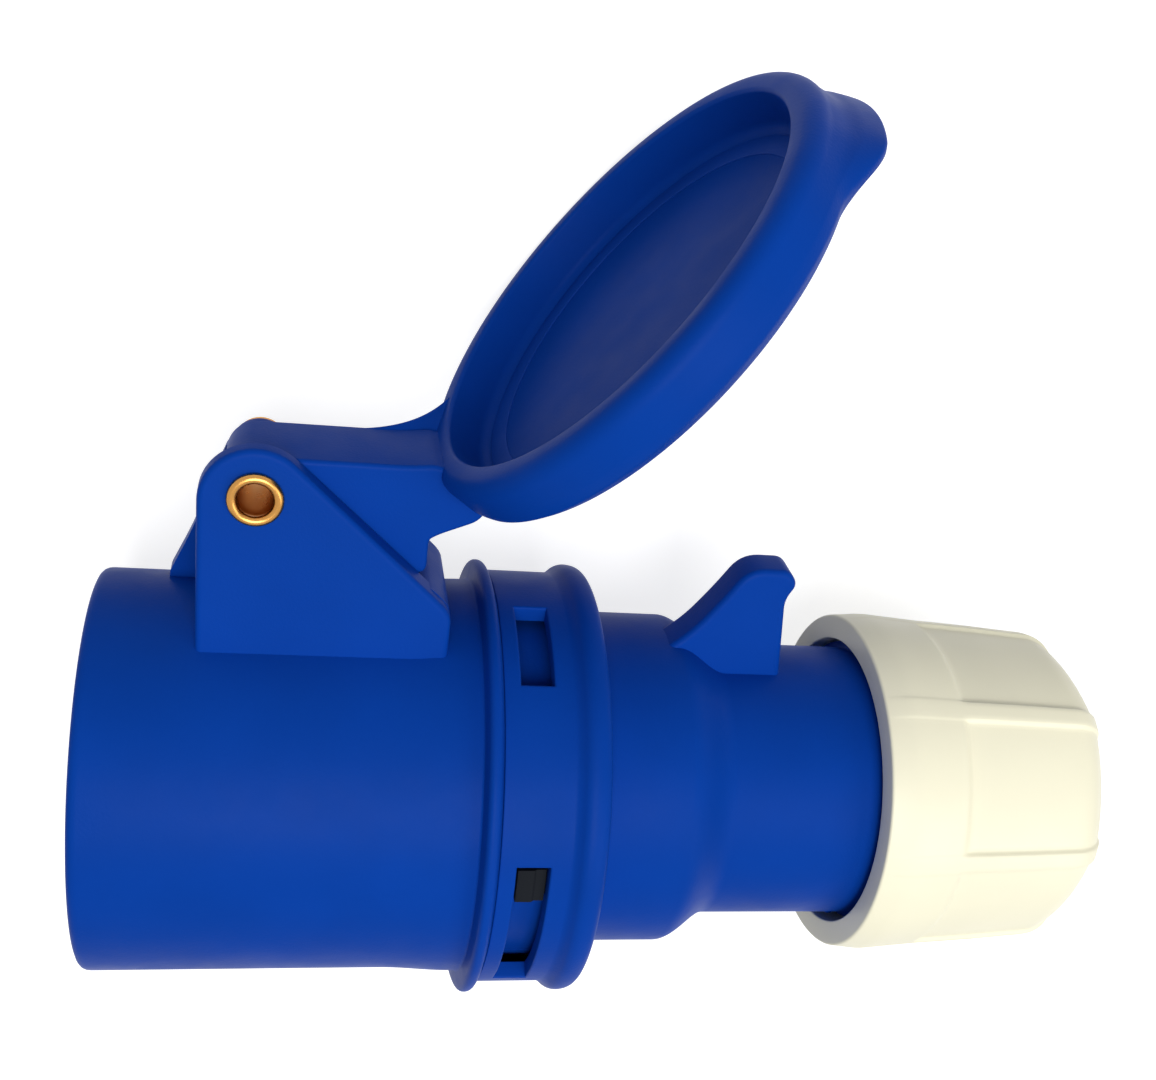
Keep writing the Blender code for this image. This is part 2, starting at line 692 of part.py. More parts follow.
def terminal_cover(parent, black):
    """The disc that keeps the contacts in their chambers, with a hole for each wire and its screw."""
    start = CARRIER_REAR_X + SEAT_GAP
    end = start + COVER_THICKNESS
    cover = finish("terminal_cover", rod(CARRIER_RADIUS, start, end, INNER_STEPS), parent, black)
    for name, angle, _pin in contact_places():
        cut(cover, name + "_wire_hole", rod(WIRE_BORE + SEAT_GAP, start - 1, end + 1), contact_axis(angle))
    cut(cover, "cover_screw_clearance", rod(COVER_SCREW_RADIUS + SEAT_GAP, start - 1, end + 1))
    return cover


def cover_screw(parent, steel):
    """The screw through the middle of the terminal cover, with a cross slot."""
    seat = CARRIER_REAR_X + 2 * SEAT_GAP + COVER_THICKNESS
    top = seat + COVER_SCREW_HEAD_RADIUS / 2
    outline = [
        (CARRIER_REAR_X - COVER_SCREW_LENGTH + 1, 0),
        (CARRIER_REAR_X - COVER_SCREW_LENGTH + 1, COVER_SCREW_RADIUS),
        (seat, COVER_SCREW_RADIUS),
        (seat, COVER_SCREW_HEAD_RADIUS),
        (top, COVER_SCREW_HEAD_RADIUS),
        (top, 0),
    ]
    screw = finish("cover_screw", spun(outline, SMALL_STEPS), parent, steel)
    width = COVER_SCREW_RADIUS / 2
    reach = 0.6 * COVER_SCREW_HEAD_RADIUS
    depth = (top - seat) / 2
    for turn in (0, 90):
        arm = plate(
            [(top - depth, -reach), (top + 1, -reach), (top + 1, reach), (top - depth, reach)],
            flat(-width / 2),
            flat(width / 2),
        )
        cut(screw, f"cross_{turn}", arm, turned(turn))
    return screw


def housing_seal(parent, rubber):
    """The ring pressed between the carrier's flange and the rear housing's skirt."""
    end = SEAL_FRONT_X + SEAL_THICKNESS
    inner = SKIRT_BORE + SEAT_GAP
    outer = HANDLE_RADIUS
    round_off = SEAL_THICKNESS / 4
    outline = [
        (SEAL_FRONT_X, inner),
        (SEAL_FRONT_X, outer - round_off),
        (SEAL_FRONT_X + round_off, outer),
        (end - round_off, outer),
        (end, outer - round_off),
        (end, inner),
    ]
    return finish("housing_seal", spun(outline, INNER_STEPS), parent, rubber)


def hinge_pin(parent, brass):
    """The hollow rivet, with a rolled rim at its near end and a narrower one at its far end."""
    outline = []
    for side, width, head in (
        (-1, FAR_EAR_HALF_WIDTH, FAR_HEAD_RADIUS),
        (1, EAR_HALF_WIDTH, PIN_HEAD_RADIUS),
    ):
        seat = ear_half(width)(PIN_Y - head) + SEAT_GAP
        end = seat + PIN_HEAD_HEIGHT
        rim = [
            (side * seat, PIN_RADIUS),
            (side * seat, head),
            (side * (seat + 0.6 * PIN_HEAD_HEIGHT), head),
            (side * end, (head + PIN_BORE) / 2 + 0.2),
            (side * end, PIN_BORE + 0.3),
            (side * (end - 0.4), PIN_BORE),
        ]
        outline += rim[::-1] if side < 0 else rim
    builder = spun(outline, MEDIUM_STEPS)
    builder.transform(along_pin())
    return finish("hinge_pin", builder, parent, brass)


def tab_growth(angle):
    """Share of the tab's length at an angle from the far end of the lid, in degrees."""
    away = abs(angle) / TAB_HALF_ANGLE
    if away >= 1:
        return 0.0
    flat_share = 0.55
    if away <= flat_share:
        return 1.0
    share = (1 - away) / (1 - flat_share)
    return share * share * (3 - 2 * share)


def lid_rings():
    """Rings from the middle of the lid's back, over the rim and its thumb tab, into the recess floor.

    Each ring point is (depth behind the rim's face, radius, share of the tab's length, share of its sink)."""
    rim_back = LID_THICKNESS - LID_BACK_ROUND
    tab_root = LID_THICKNESS - LID_BACK_ROUND / 2 - TAB_THICKNESS
    profile = [(LID_THICKNESS + 0.6, 3.0, 0.0, 0.0), (LID_THICKNESS + 0.3, 0.6 * LID_RADIUS, 0.0, 0.0)]
    back = arc((rim_back, LID_RADIUS - LID_BACK_ROUND), LID_BACK_ROUND, 0, 45, 2)
    for (depth, radius), share, sink in zip(back, (0.3, 0.65, 0.97), (0.0, 0.5, 1.0)):
        profile.append((depth, radius, share, sink))
    profile.append((LID_THICKNESS - LID_BACK_ROUND / 2, LID_RADIUS - 0.4, 0.95, 1.0))
    profile.append((tab_root + TAB_THICKNESS / 2, LID_RADIUS, 0.6, 0.8))
    profile.append((tab_root + TAB_THICKNESS / 5, LID_RADIUS, 0.26, 0.4))
    profile.append(((tab_root + LID_FRONT_ROUND) / 2, LID_RADIUS, 0.06, 0.0))
    profile.append((LID_FRONT_ROUND, LID_RADIUS, 0.0, 0.0))
    for depth, radius in arc((LID_FRONT_ROUND, LID_RADIUS - LID_FRONT_ROUND), LID_FRONT_ROUND, 120, 180, 2):
        profile.append((depth, radius, 0.0, 0.0))
    profile.append((0, LID_RECESS_RADIUS + 0.5, 0.0, 0.0))
    profile.append((0.5, LID_RECESS_RADIUS, 0.0, 0.0))
    profile.append((LID_DEPTH, LID_RECESS_RADIUS, 0.0, 0.0))
    profile.append((LID_DEPTH, 3.0, 0.0, 0.0))
    return profile


def lid(parent, blue):
    """The lid in its hinge's frame: +X from the pin towards the middle of the disc, +Y out of its inside."""
    rim_y = LID_OVERLAP - PIN_X
    rings = []
    for depth, radius, tab_share, tab_sink in lid_rings():
        ring = []
        for step in range(LID_STEPS):
            angle = 360 * step / LID_STEPS
            grown = tab_growth((angle + 180) % 360 - 180)
            reach = radius + TAB_LENGTH * tab_share * grown
            x = LID_CENTER + reach * math.cos(math.radians(angle))
            y = rim_y - depth - TAB_SINK * tab_sink * grown
            ring.append((x, y, reach * math.sin(math.radians(angle))))
        rings.append(ring)
    cover = finish("lid", lofted(rings, closed_along=False), parent, blue)
    add(cover, "lid_arm", lid_arm(), open_to_lid())
    bore = rod(PIN_RADIUS + PIN_CLEARANCE, -ARM_HALF_WIDTH - 1, ARM_HALF_WIDTH + 1, MEDIUM_STEPS)
    cut(cover, "lid_pin_bore", bore, Matrix.Rotation(math.radians(-90), 4, "Y"))
    return cover


def open_to_lid():
    """Turns a shape drawn with the lid open into the lid's own frame."""
    return Matrix.Rotation(math.radians(-LID_REST_ANGLE), 4, "Z")


def lid_arm():
    """The block between the ears, drawn with the lid open: level on top, round at the pin, flared at the lid."""
    rim_x = LID_OVERLAP - PIN_X
    angle = math.radians(LID_REST_ANGLE)
    near = LID_CENTER - LID_RADIUS

    def in_open(along, out):
        return (
            along * math.cos(angle) - out * math.sin(angle),
            along * math.sin(angle) + out * math.cos(angle),
        )

    front_edge = in_open(near + LID_FRONT_ROUND, rim_x - 0.5)
    inner_edge = in_open(near + 3.0, rim_x - LID_THICKNESS / 2)
    back_edge = in_open(near + 2.5, rim_x - LID_THICKNESS + 1.2)
    outline = [
        (ARM_REAR, -ARM_BOTTOM),
        (-ARM_EYE_RADIUS / 2, -ARM_BOTTOM),
        *arc((0, 0), ARM_EYE_RADIUS, 205, 115, 8),
        (0, ARM_TOP),
        (front_edge[0] - 4.5, ARM_TOP),
        (front_edge[0] - 1.5, ARM_TOP + 0.2),
        (front_edge[0] + 0.5, front_edge[1] + 0.2),
        inner_edge,
        back_edge,
        (ARM_REAR + 1.0, SEAT_GAP - ARM_UNDERSIDE),
        (ARM_REAR, -ARM_UNDERSIDE),
    ]
    return plate(outline, flat(-ARM_HALF_WIDTH), flat(ARM_HALF_WIDTH))


def lid_seal(parent, blue_rubber):
    """The flat ring on the recess floor that meets the collar's mouth."""
    rim_y = LID_OVERLAP - PIN_X
    outer = LID_RECESS_RADIUS - SEAT_GAP
    inner = outer - LID_SEAL_WIDTH
    low = LID_DEPTH - SEAT_GAP
    high = low - LID_SEAL_THICKNESS
    builder = spun([(low, inner), (low, outer), (high, outer), (high, inner)], INNER_STEPS)
    place = Matrix.Translation((LID_CENTER, rim_y, 0)) @ Matrix.Rotation(math.radians(-90), 4, "Z")
    builder.transform(place)
    return finish("lid_seal", builder, parent, blue_rubber)


def grip_radius(radius, angle, share):
    """The nut's radius at an angle in degrees: flattened panels sunk between narrow ridges."""
    pitch = 360 / NUT_PANELS
    away = ((angle - NUT_RIDGE_FIRST) % pitch) / pitch
    ridge = NUT_RIDGE_ANGLE / pitch
    if away < ridge:
        return radius
    middle = abs((away - ridge) / (1 - ridge) - 0.5) * 2
    return radius - share * (NUT_PANEL_DEPTH + NUT_PANEL_FLAT * (1 - middle * middle))


def grip_angles():
    """Angles round the nut, with a close pair at each panel's edges."""
    pitch = 360 / NUT_PANELS
    angles = []
    for panel in range(NUT_PANELS):
        start = NUT_RIDGE_FIRST + panel * pitch
        for share in (0.08, 0.92):
            angles.append(start + NUT_RIDGE_ANGLE * share)
        for share in (0.02, 0.25, 0.5, 0.75, 0.98):
            angles.append(start + NUT_RIDGE_ANGLE + (pitch - NUT_RIDGE_ANGLE) * share)
    return angles


def nut_profile():
    """(x, radius, share of the grip's relief) round the nut's section, from its cable end over its outside."""
    grip_x = NUT_FRONT_X + NUT_COLLAR_LENGTH
    dome_x = NUT_END_X - NUT_DOME_LENGTH
    dome_drop = NUT_GRIP_RADIUS - 1.0 - NUT_END_RADIUS
    profile = [(NUT_END_X, CABLE_HOLE_RADIUS + CABLE_HOLE_FLARE, 0.0)]
    for step in range(5):
        angle = math.radians(90 * step / 4)
        x = dome_x + NUT_DOME_LENGTH * math.cos(angle)
        profile.append((x, NUT_END_RADIUS + dome_drop * math.sin(angle), min(1.0, step / 2)))
    profile.append((grip_x + 0.6, NUT_GRIP_RADIUS + 0.1, 1.0))
    profile.append((grip_x, NUT_GRIP_RADIUS + 0.2, 0.0))
    profile.append((NUT_FRONT_X + 2.5 * NUT_FRONT_ROUND, NUT_RADIUS, 0.0))
    for x, radius in arc((NUT_FRONT_X + NUT_FRONT_ROUND, NUT_RADIUS - NUT_FRONT_ROUND), NUT_FRONT_ROUND, 90, 180, 2):
        profile.append((x, radius, 0.0))
    cage_radius = THREAD_RADIUS - SEAT_GAP * 2
    profile += [
        (NUT_FRONT_X, NUT_BORE + 0.3, 0.0),
        (NUT_FRONT_X + 0.3, NUT_BORE, 0.0),
        (NUT_FRONT_X + NUT_COLLAR_LENGTH / 2, NUT_BORE, 0.0),
        (NUT_FRONT_X + NUT_COLLAR_LENGTH / 2 + 0.4, THREAD_RADIUS + RUNNING_GAP, 0.0),
        (CAGE_FRONT_X + CAGE_FLANGE + RUNNING_GAP, THREAD_RADIUS + RUNNING_GAP, 0.0),
        (CAGE_FRONT_X + CAGE_FLANGE + RUNNING_GAP, cage_radius - 1.0, 0.0),
        (CAGE_REAR_X, CAGE_END_RADIUS + 2 * RUNNING_GAP, 0.0),
        (NUT_WALL_X, CAGE_END_RADIUS + 2 * RUNNING_GAP, 0.0),
        (NUT_WALL_X, CABLE_HOLE_RADIUS, 0.0),
        (NUT_END_X - CABLE_HOLE_FLARE, CABLE_HOLE_RADIUS, 0.0),
    ]
    return profile


def gland_nut(parent, cream):
    """The cable gland's nut: a round front collar, seven grip panels and a domed cable end."""
    rings = []
    for x, radius, share in nut_profile():
        ring = []
        for angle in grip_angles():
            reach = grip_radius(radius, angle, share)
            ring.append((x, reach * math.cos(math.radians(angle)), reach * math.sin(math.radians(angle))))
        rings.append(ring)
    return finish("gland_nut", lofted(rings, closed_along=True), parent, cream)


def gland_seal(parent, rubber):
    """The rubber bush that grips the cable inside the neck."""
    start = GLAND_SEAL_REAR_X - GLAND_SEAL_LENGTH
    outer = NECK_BORE - RUNNING_GAP
    outline = [
        (start, GLAND_SEAL_BORE + 1),
        (start, outer - 1.5),
        (start + 1.5, outer),
        (GLAND_SEAL_REAR_X, outer),
        (GLAND_SEAL_REAR_X, GLAND_SEAL_BORE),
        (start + 1, GLAND_SEAL_BORE),
    ]
    return finish("gland_seal", spun(outline, INNER_STEPS), parent, rubber)


def clamp_cage(parent, cream):
    """The slit ring that closes on the cable when the nut drives it forward."""
    flange = THREAD_RADIUS - 2 * SEAT_GAP
    shoulder = flange - 1.0 - RUNNING_GAP
    outline = [
        (CAGE_FRONT_X, CAGE_BORE),
        (CAGE_FRONT_X, flange),
        (CAGE_FRONT_X + CAGE_FLANGE, flange),
        (CAGE_FRONT_X + CAGE_FLANGE, shoulder),
        (CAGE_REAR_X, CAGE_END_RADIUS),
        (CAGE_REAR_X, CAGE_BORE),
    ]
    cage = finish("clamp_cage", spun(outline, INNER_STEPS), parent, cream)
    half = CAGE_SLOT_WIDTH / 2
    slot = [
        (CAGE_FRONT_X + CAGE_FLANGE + 1, CAGE_BORE / 2),
        (CAGE_REAR_X + 1, CAGE_BORE / 2),
        (CAGE_REAR_X + 1, flange + 1),
        (CAGE_FRONT_X + CAGE_FLANGE + 1, flange + 1),
    ]
    for count in range(CAGE_SLOTS):
        cut(cage, f"cage_slot_{count}", plate(slot, flat(-half), flat(half)), turned(360 * count / CAGE_SLOTS))
    return cage


def thrust_washer(parent, steel):
    """The washer that lets the nut turn without twisting the cage."""
    end = WASHER_FRONT_X + THRUST_WASHER_THICKNESS
    inner = CAGE_BORE + SEAT_GAP
    outer = CAGE_END_RADIUS
    outline = [(WASHER_FRONT_X, inner), (WASHER_FRONT_X, outer), (end, outer), (end, inner)]
    return finish("thrust_washer", spun(outline, INNER_STEPS), parent, steel)


def middle_y():
    """The middle of the open connector's reach in Y, from the bead below to the tip of the thumb tab."""
    angle = math.radians(LID_REST_ANGLE)
    top = 0.0
    for depth, radius, tab_share, tab_sink in lid_rings():
        for step in range(LID_STEPS):
            turn = 360 * step / LID_STEPS
            grown = tab_growth((turn + 180) % 360 - 180)
            along = LID_CENTER + (radius + TAB_LENGTH * tab_share * grown) * math.cos(math.radians(turn))
            out = LID_OVERLAP - PIN_X - depth - TAB_SINK * tab_sink * grown
            top = max(top, PIN_Y + along * math.sin(angle) + out * math.cos(angle))
    return (top - RIB_RADIUS) / 2


def frame_empty(name, location, parent=None, turn=0.0):
    """An empty that carries the pieces of one axis."""
    made = bpy.data.objects.new(name, None)
    bpy.context.collection.objects.link(made)
    made.parent = parent
    made.location = Vector(location) * MM
    made.rotation_euler = (0, 0, math.radians(turn))
    return made


def main():
    for old in list(bpy.data.objects):
        bpy.data.objects.remove(old)
    blue = material("blue_plastic", (0.010, 0.055, 0.370), 0.42)
    cream = material("cream_plastic", (0.85, 0.82, 0.66), 0.35)
    black = material("black_plastic", (0.012, 0.013, 0.016), 0.45)
    rubber = material("black_rubber", (0.02, 0.02, 0.02), 0.8)
    blue_rubber = material("blue_rubber", (0.008, 0.04, 0.28), 0.6)
    brass = material("brass", (0.72, 0.45, 0.16), 0.3, 1.0)
    steel = material("steel", (0.60, 0.61, 0.63), 0.3, 1.0)

    axis = frame_empty("connector_axis", (-NUT_END_X / 2, -middle_y(), REST_HEIGHT))
    hinge = frame_empty("lid_hinge_axis", (PIN_X, PIN_Y, 0), axis, LID_REST_ANGLE)

    front_housing(axis, blue)
    rear_housing(axis, blue)
    locking_slider(axis, black)
    contact_carrier(axis, black)
    for name, angle, pin in contact_places():
        contact(axis, brass, name, angle, pin)
        contact_spring(axis, steel, name, angle, pin)
        terminal_screw(axis, steel, name, angle, pin)
    terminal_cover(axis, black)
    cover_screw(axis, steel)
    housing_seal(axis, rubber)
    hinge_pin(axis, brass)
    lid(hinge, blue)
    lid_seal(hinge, blue_rubber)
    gland_nut(axis, cream)
    gland_seal(axis, rubber)
    clamp_cage(axis, cream)
    thrust_washer(axis, steel)


main()
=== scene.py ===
"""Dresses a packed industrial power connector: a pin-and-sleeve cable coupler lying on its side, lid open.

Lengths inside the shape functions are millimetres in the connector's own frame: x along its axis from
the open mouth, y towards the hinge, z up. Angles round the axis are degrees from the hinge side towards the
top. Finished meshes are in metres, in place.
"""

import math

import bmesh
import bpy
import numpy as np
from bpy.props import FloatProperty, FloatVectorProperty, PointerProperty
from mathutils import Matrix, Vector


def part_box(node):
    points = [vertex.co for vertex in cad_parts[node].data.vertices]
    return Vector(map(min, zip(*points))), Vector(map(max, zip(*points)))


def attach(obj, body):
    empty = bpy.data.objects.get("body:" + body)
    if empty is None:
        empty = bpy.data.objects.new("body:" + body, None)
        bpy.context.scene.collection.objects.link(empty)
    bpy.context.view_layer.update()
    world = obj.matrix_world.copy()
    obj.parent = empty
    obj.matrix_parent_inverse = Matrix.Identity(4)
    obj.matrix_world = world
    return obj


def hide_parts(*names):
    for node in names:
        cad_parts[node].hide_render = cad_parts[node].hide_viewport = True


bl_info = {
    "name": "Industrial power connector",
    "version": (1, 0, 0),
    "blender": (4, 5, 0),
    "location": "3D View > Sidebar > Connector",
    "description": "Builds the visible surfaces, finishes and stage of a pin-and-sleeve cable coupler",
    "category": "Object",
}

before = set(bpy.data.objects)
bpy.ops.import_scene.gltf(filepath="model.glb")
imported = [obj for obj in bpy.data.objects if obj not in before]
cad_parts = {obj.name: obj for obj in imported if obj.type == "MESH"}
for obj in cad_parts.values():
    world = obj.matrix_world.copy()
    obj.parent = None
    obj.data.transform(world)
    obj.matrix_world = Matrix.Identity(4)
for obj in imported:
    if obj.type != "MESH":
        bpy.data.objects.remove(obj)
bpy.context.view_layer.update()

MM_PER_METRE = 1000
SHARP_ANGLE = 38
CORNER_STEPS = 6

# Sizes in millimetres and angles in degrees that the shapes share
COLLAR_RADIUS, COLLAR_BORE = 27.0, 23.0
BEAD_RADIUS = 30.4
FLANGE_X = 51.4
SPIGOT_RADIUS, SPIGOT_BORE, SPIGOT_END = 25.4, 24.0, 60.6
BAND_X, BAND_END, BAND_RADIUS, BAND_BORE = 51.7, 60.2, 29.0, 26.9
WINDOW_FRONT, WINDOW_REAR, WINDOW_ROUND = 53.9, 58.2, 0.28
WINDOW_ANGLES = ((5.8, 31.8), (185.8, 211.8), (78.2, 126.2))
HANDLE_RADIUS, HANDLE_BORE = 23.6, 20.6
SHOULDER_X, SHOULDER_LENGTH = 77.5, 7.5
NECK_RADIUS, NECK_BORE, NECK_END = 19.75, 16.0, 118.0
FIN_HALF, FIN_TOP = 2.8, 35.9
PIN_X, PIN_Y = 20.4, 45.4
PIN_HOLE_RADIUS = 2.8
BRACKET_BASE, BRACKET_REAR = 24.0, 44.9
SLOT_HALF, ARM_HALF = 6.3, 6.0
LID_REST_ANGLE = 53.5
LID_OVERLAP = 5.0
LID_CENTER = 46.1
LID_RADIUS, LID_RECESS, LID_THICKNESS = 32.0, 6.6, 8.9
RIM_PLANE = LID_OVERLAP - PIN_X
NUT_FRONT, NUT_END, NUT_BORE = 104.9, 140.5, 21.1
PANEL_COUNT, FIRST_RIDGE, RIDGE_WIDTH, PANEL_EASE, PANEL_DISH = 7, 28.2, 5.6, 1.3, 0.55
PANEL_PITCH = 360 / PANEL_COUNT

BODY_LOW, BODY_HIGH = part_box("front_housing")
ORIGIN = np.array([BODY_LOW.x, BODY_LOW.y + BEAD_RADIUS / MM_PER_METRE, (BODY_LOW.z + BODY_HIGH.z) / 2])


def spaced(start, stop, count):
    """Evenly spaced values from start to stop."""
    return np.linspace(start, stop, count)


def eased(share):
    """3 s^2 - 2 s^3, which leaves 0 and reaches 1 without a kink."""
    return share * share * (3 - 2 * share)


def soft_outline(corners, radii, steps=CORNER_STEPS):
    """A closed outline with each corner rounded.

    Each corner C is replaced by the curve (1-t)^2 A + 2 t (1-t) C + t^2 B, where A and B lie on its
    two edges at the corner's radius, and never past 0.48 of an edge."""
    corner = np.asarray(corners, float)
    back = np.roll(corner, 1, 0) - corner
    ahead = np.roll(corner, -1, 0) - corner
    back_length = np.linalg.norm(back, axis=1)
    ahead_length = np.linalg.norm(ahead, axis=1)
    radius = np.broadcast_to(np.asarray(radii, float), back_length.shape)
    start = corner + back * (np.minimum(radius, 0.48 * back_length) / back_length)[:, None]
    end = corner + ahead * (np.minimum(radius, 0.48 * ahead_length) / ahead_length)[:, None]
    t = spaced(0, 1, steps)[None, :, None]
    curve = (1 - t) ** 2 * start[:, None] + 2 * t * (1 - t) * corner[:, None] + t**2 * end[:, None]
    return curve.reshape(-1, 2)


def soft_corners(corners, radii, first, last, steps=CORNER_STEPS):
    """The stretch of a soft outline from its corner first to its corner last."""
    return soft_outline(corners, radii, steps)[first * steps:(last + 1) * steps]


def arc(center, radius, start, end, steps):
    """Points of a circle's arc, at center + radius (cos t, sin t)."""
    t = np.radians(spaced(start, end, steps))
    return np.column_stack([center[0] + radius * np.cos(t), center[1] + radius * np.sin(t)])


def grid_faces(rows, columns, close_rows, close_columns):
    """Quads of a grid whose point (i, j) has the number i * columns + j."""
    i = np.arange(rows if close_rows else rows - 1)
    j = np.arange(columns if close_columns else columns - 1)
    i, j = np.meshgrid(i, j, indexing="ij")
    after_i = (i + 1) % rows
    after_j = (j + 1) % columns
    quads = [i * columns + j, after_i * columns + j, after_i * columns + after_j, i * columns + after_j]
    return np.stack(quads, -1).reshape(-1, 4)


def tidy_mesh(mesh, sharp=SHARP_ANGLE):
    """Merges doubles, drops what collapsed, turns the faces outwards and shades round faces smooth."""
    work = bmesh.new()
    work.from_mesh(mesh)
    merge_distance, least_edge = 2e-7, 1e-8
    bmesh.ops.remove_doubles(work, verts=work.verts, dist=merge_distance)
    bmesh.ops.dissolve_degenerate(work, edges=work.edges, dist=least_edge)
    bmesh.ops.recalc_face_normals(work, faces=work.faces)
    work.to_mesh(mesh)
    work.free()
    mesh.shade_smooth()
    mesh.set_sharp_from_angle(angle=math.radians(sharp))


def put(name, points, faces, sharp=SHARP_ANGLE):
    """An object from points in the connector's millimetres and a list of faces."""
    mesh = bpy.data.meshes.new(name)
    placed = np.asarray(points, float).reshape(-1, 3) / MM_PER_METRE + ORIGIN
    mesh.from_pydata(placed.tolist(), [], [list(map(int, face)) for face in faces])
    tidy_mesh(mesh, sharp)
    made = bpy.data.objects.new(name, mesh)
    bpy.context.collection.objects.link(made)
    return made


def revolved_points(profile, angles):
    """Point (i, j) is the profile's point j, (x, r), turned to angle i: (x, r cos a, r sin a)."""
    profile = np.asarray(profile, float)
    a = np.radians(angles)[:, None]
    x = np.broadcast_to(profile[:, 0], (len(angles), len(profile)))
    return np.stack([x, profile[:, 1] * np.cos(a), profile[:, 1] * np.sin(a)], -1)


def full_turn(count):
    """Evenly spaced angles of one turn."""
    return np.arange(count) * 360 / count


def revolved(name, profile, segments):
    """A closed (x, radius) profile turned once round the axis."""
    points = revolved_points(profile, full_turn(segments))
    return put(name, points, grid_faces(segments, len(profile), True, True))


def end_caps(rows, columns):
    """The first and the last row of a grid as faces."""
    return [np.arange(columns), np.arange((rows - 1) * columns, rows * columns)]


def pole_caps(rows, columns):
    """The first and the last column of a grid as faces."""
    return [np.arange(rows) * columns, np.arange(rows) * columns + columns - 1]


def plate(name, outline, low, high):
    """An (x, y) outline between two z heights, with flat ends."""
    outline = np.asarray(outline, float)
    count = len(outline)
    points = [np.column_stack([outline, np.full(count, float(height))]) for height in (low, high)]
    return put(name, np.vstack(points), list(grid_faces(2, count, False, True)) + end_caps(2, count))


def flat(height):
    """A face at one height, whatever y is."""
    return lambda y: np.full(len(y), float(height))


def leaning(height, slope):
    """A face that moves by slope for each millimetre above the bracket's base."""
    return lambda y: height + slope * (y - BRACKET_BASE)


def pillow(name, outline, low, high, low_round, high_round):
    """A plate between two faces, each a height as a function of y, whose rims are rounded.

    Ring t of a rim of radius q is the outline moved inwards by q (1 - cos t), at q (1 - sin t) from the
    face, t running from 0 to 90 degrees. One more ring lies flat inside it, so that the face shades flat."""
    outline = np.asarray(outline, float)
    least_step, flat_margin, rings_per_rim = 1e-4, 0.15, 7
    outline = outline[np.linalg.norm(outline - np.roll(outline, 1, 0), axis=1) > least_step]
    ahead = np.roll(outline, -1, 0) - outline
    ahead /= np.linalg.norm(ahead, axis=1)[:, None]
    behind = np.roll(ahead, 1, 0)
    x, y = outline.T
    turn = np.sign(np.sum(x * np.roll(y, -1) - np.roll(x, -1) * y))
    inward = np.column_stack([-(ahead + behind)[:, 1], (ahead + behind)[:, 0]]) * turn
    inward /= np.linalg.norm(inward, axis=1)[:, None]
    half_cos = np.sqrt(np.clip((1 + np.sum(ahead * behind, 1)) / 2, 0.5, 1))
    inward /= half_cos[:, None]
    t = np.radians(spaced(0, 90, rings_per_rim))
    rings = []
    for face, q, side in ((low, low_round, 1), (high, high_round, -1)):
        insets = np.append(q * (1 - np.cos(t)), q + flat_margin)
        depths = np.append(q * (1 - np.sin(t)), 0)
        if not q:
            insets, depths = np.array([0.0]), np.array([0.0])
        moved_in = outline[None] + inward[None] * insets[:, None, None]
        heights = np.array([face(ring[:, 1]) for ring in moved_in]) + side * depths[:, None]
        stack = np.concatenate([moved_in, heights[..., None]], -1)
        rings.append(stack[::-1] if side > 0 else stack)
    points = np.concatenate(rings)
    levels, count = points.shape[:2]
    return put(name, points, list(grid_faces(levels, count, False, True)) + end_caps(levels, count))


def carve(target, cutter):
    """Cuts one closed mesh out of another for good, and removes it."""
    step = target.modifiers.new("carve", "BOOLEAN")
    step.operation = "DIFFERENCE"
    step.solver = "EXACT"
    step.object = cutter
    bpy.context.view_layer.update()
    graph = bpy.context.evaluated_depsgraph_get()
    result = bpy.data.meshes.new_from_object(target.evaluated_get(graph))
    target.modifiers.clear()
    target.data = result
    bpy.data.objects.remove(cutter)
    return target


def moved(target, matrix):
    """Bakes a move, given in the connector's millimetres, into a mesh."""
    to_local = Matrix.Scale(MM_PER_METRE, 4) @ Matrix.Translation(-Vector(ORIGIN))
    target.data.transform(to_local.inverted() @ matrix @ to_local)
    return target


def fit(target, body, slot, *nodes):
    """Gives a piece its slot's finish, its body and the solids that it stands for."""
    missing = [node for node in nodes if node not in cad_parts]
    if missing or not target.data.polygons:
        raise RuntimeError(f"{target.name} can't be built: {missing or 'it has no faces'}")
    target.data.materials.clear()
    target.data.materials.append(FINISHES[slot]())
    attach(target, body)
    if nodes:
        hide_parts(*nodes)


def dressed(node, body, slot):
    """A merged copy of a solid's mesh, with its finish, in place of the solid."""
    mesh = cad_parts[node].data.copy()
    tidy_mesh(mesh, 32)
    made = bpy.data.objects.new(node + "_finished", mesh)
    bpy.context.collection.objects.link(made)
    fit(made, body, slot, node)


# Finishes


def noise(tree, place, scale, detail):
    """A noise pattern at a place, as a share."""
    made = tree.nodes.new("ShaderNodeTexNoise")
    made.inputs["Scale"].default_value = scale
    made.inputs["Detail"].default_value = detail
    tree.links.new(place, made.inputs["Vector"])
    return made.outputs["Fac"]


def spread(tree, share, low, high):
    """Stretches the middle of a noise pattern's range over the one from low to high."""
    ranged = tree.nodes.new("ShaderNodeMapRange")
    for socket, value in (("From Min", 0.3), ("From Max", 0.7), ("To Min", low), ("To Max", high)):
        ranged.inputs[socket].default_value = value
    tree.links.new(share, ranged.inputs["Value"])
    return ranged.outputs["Result"]


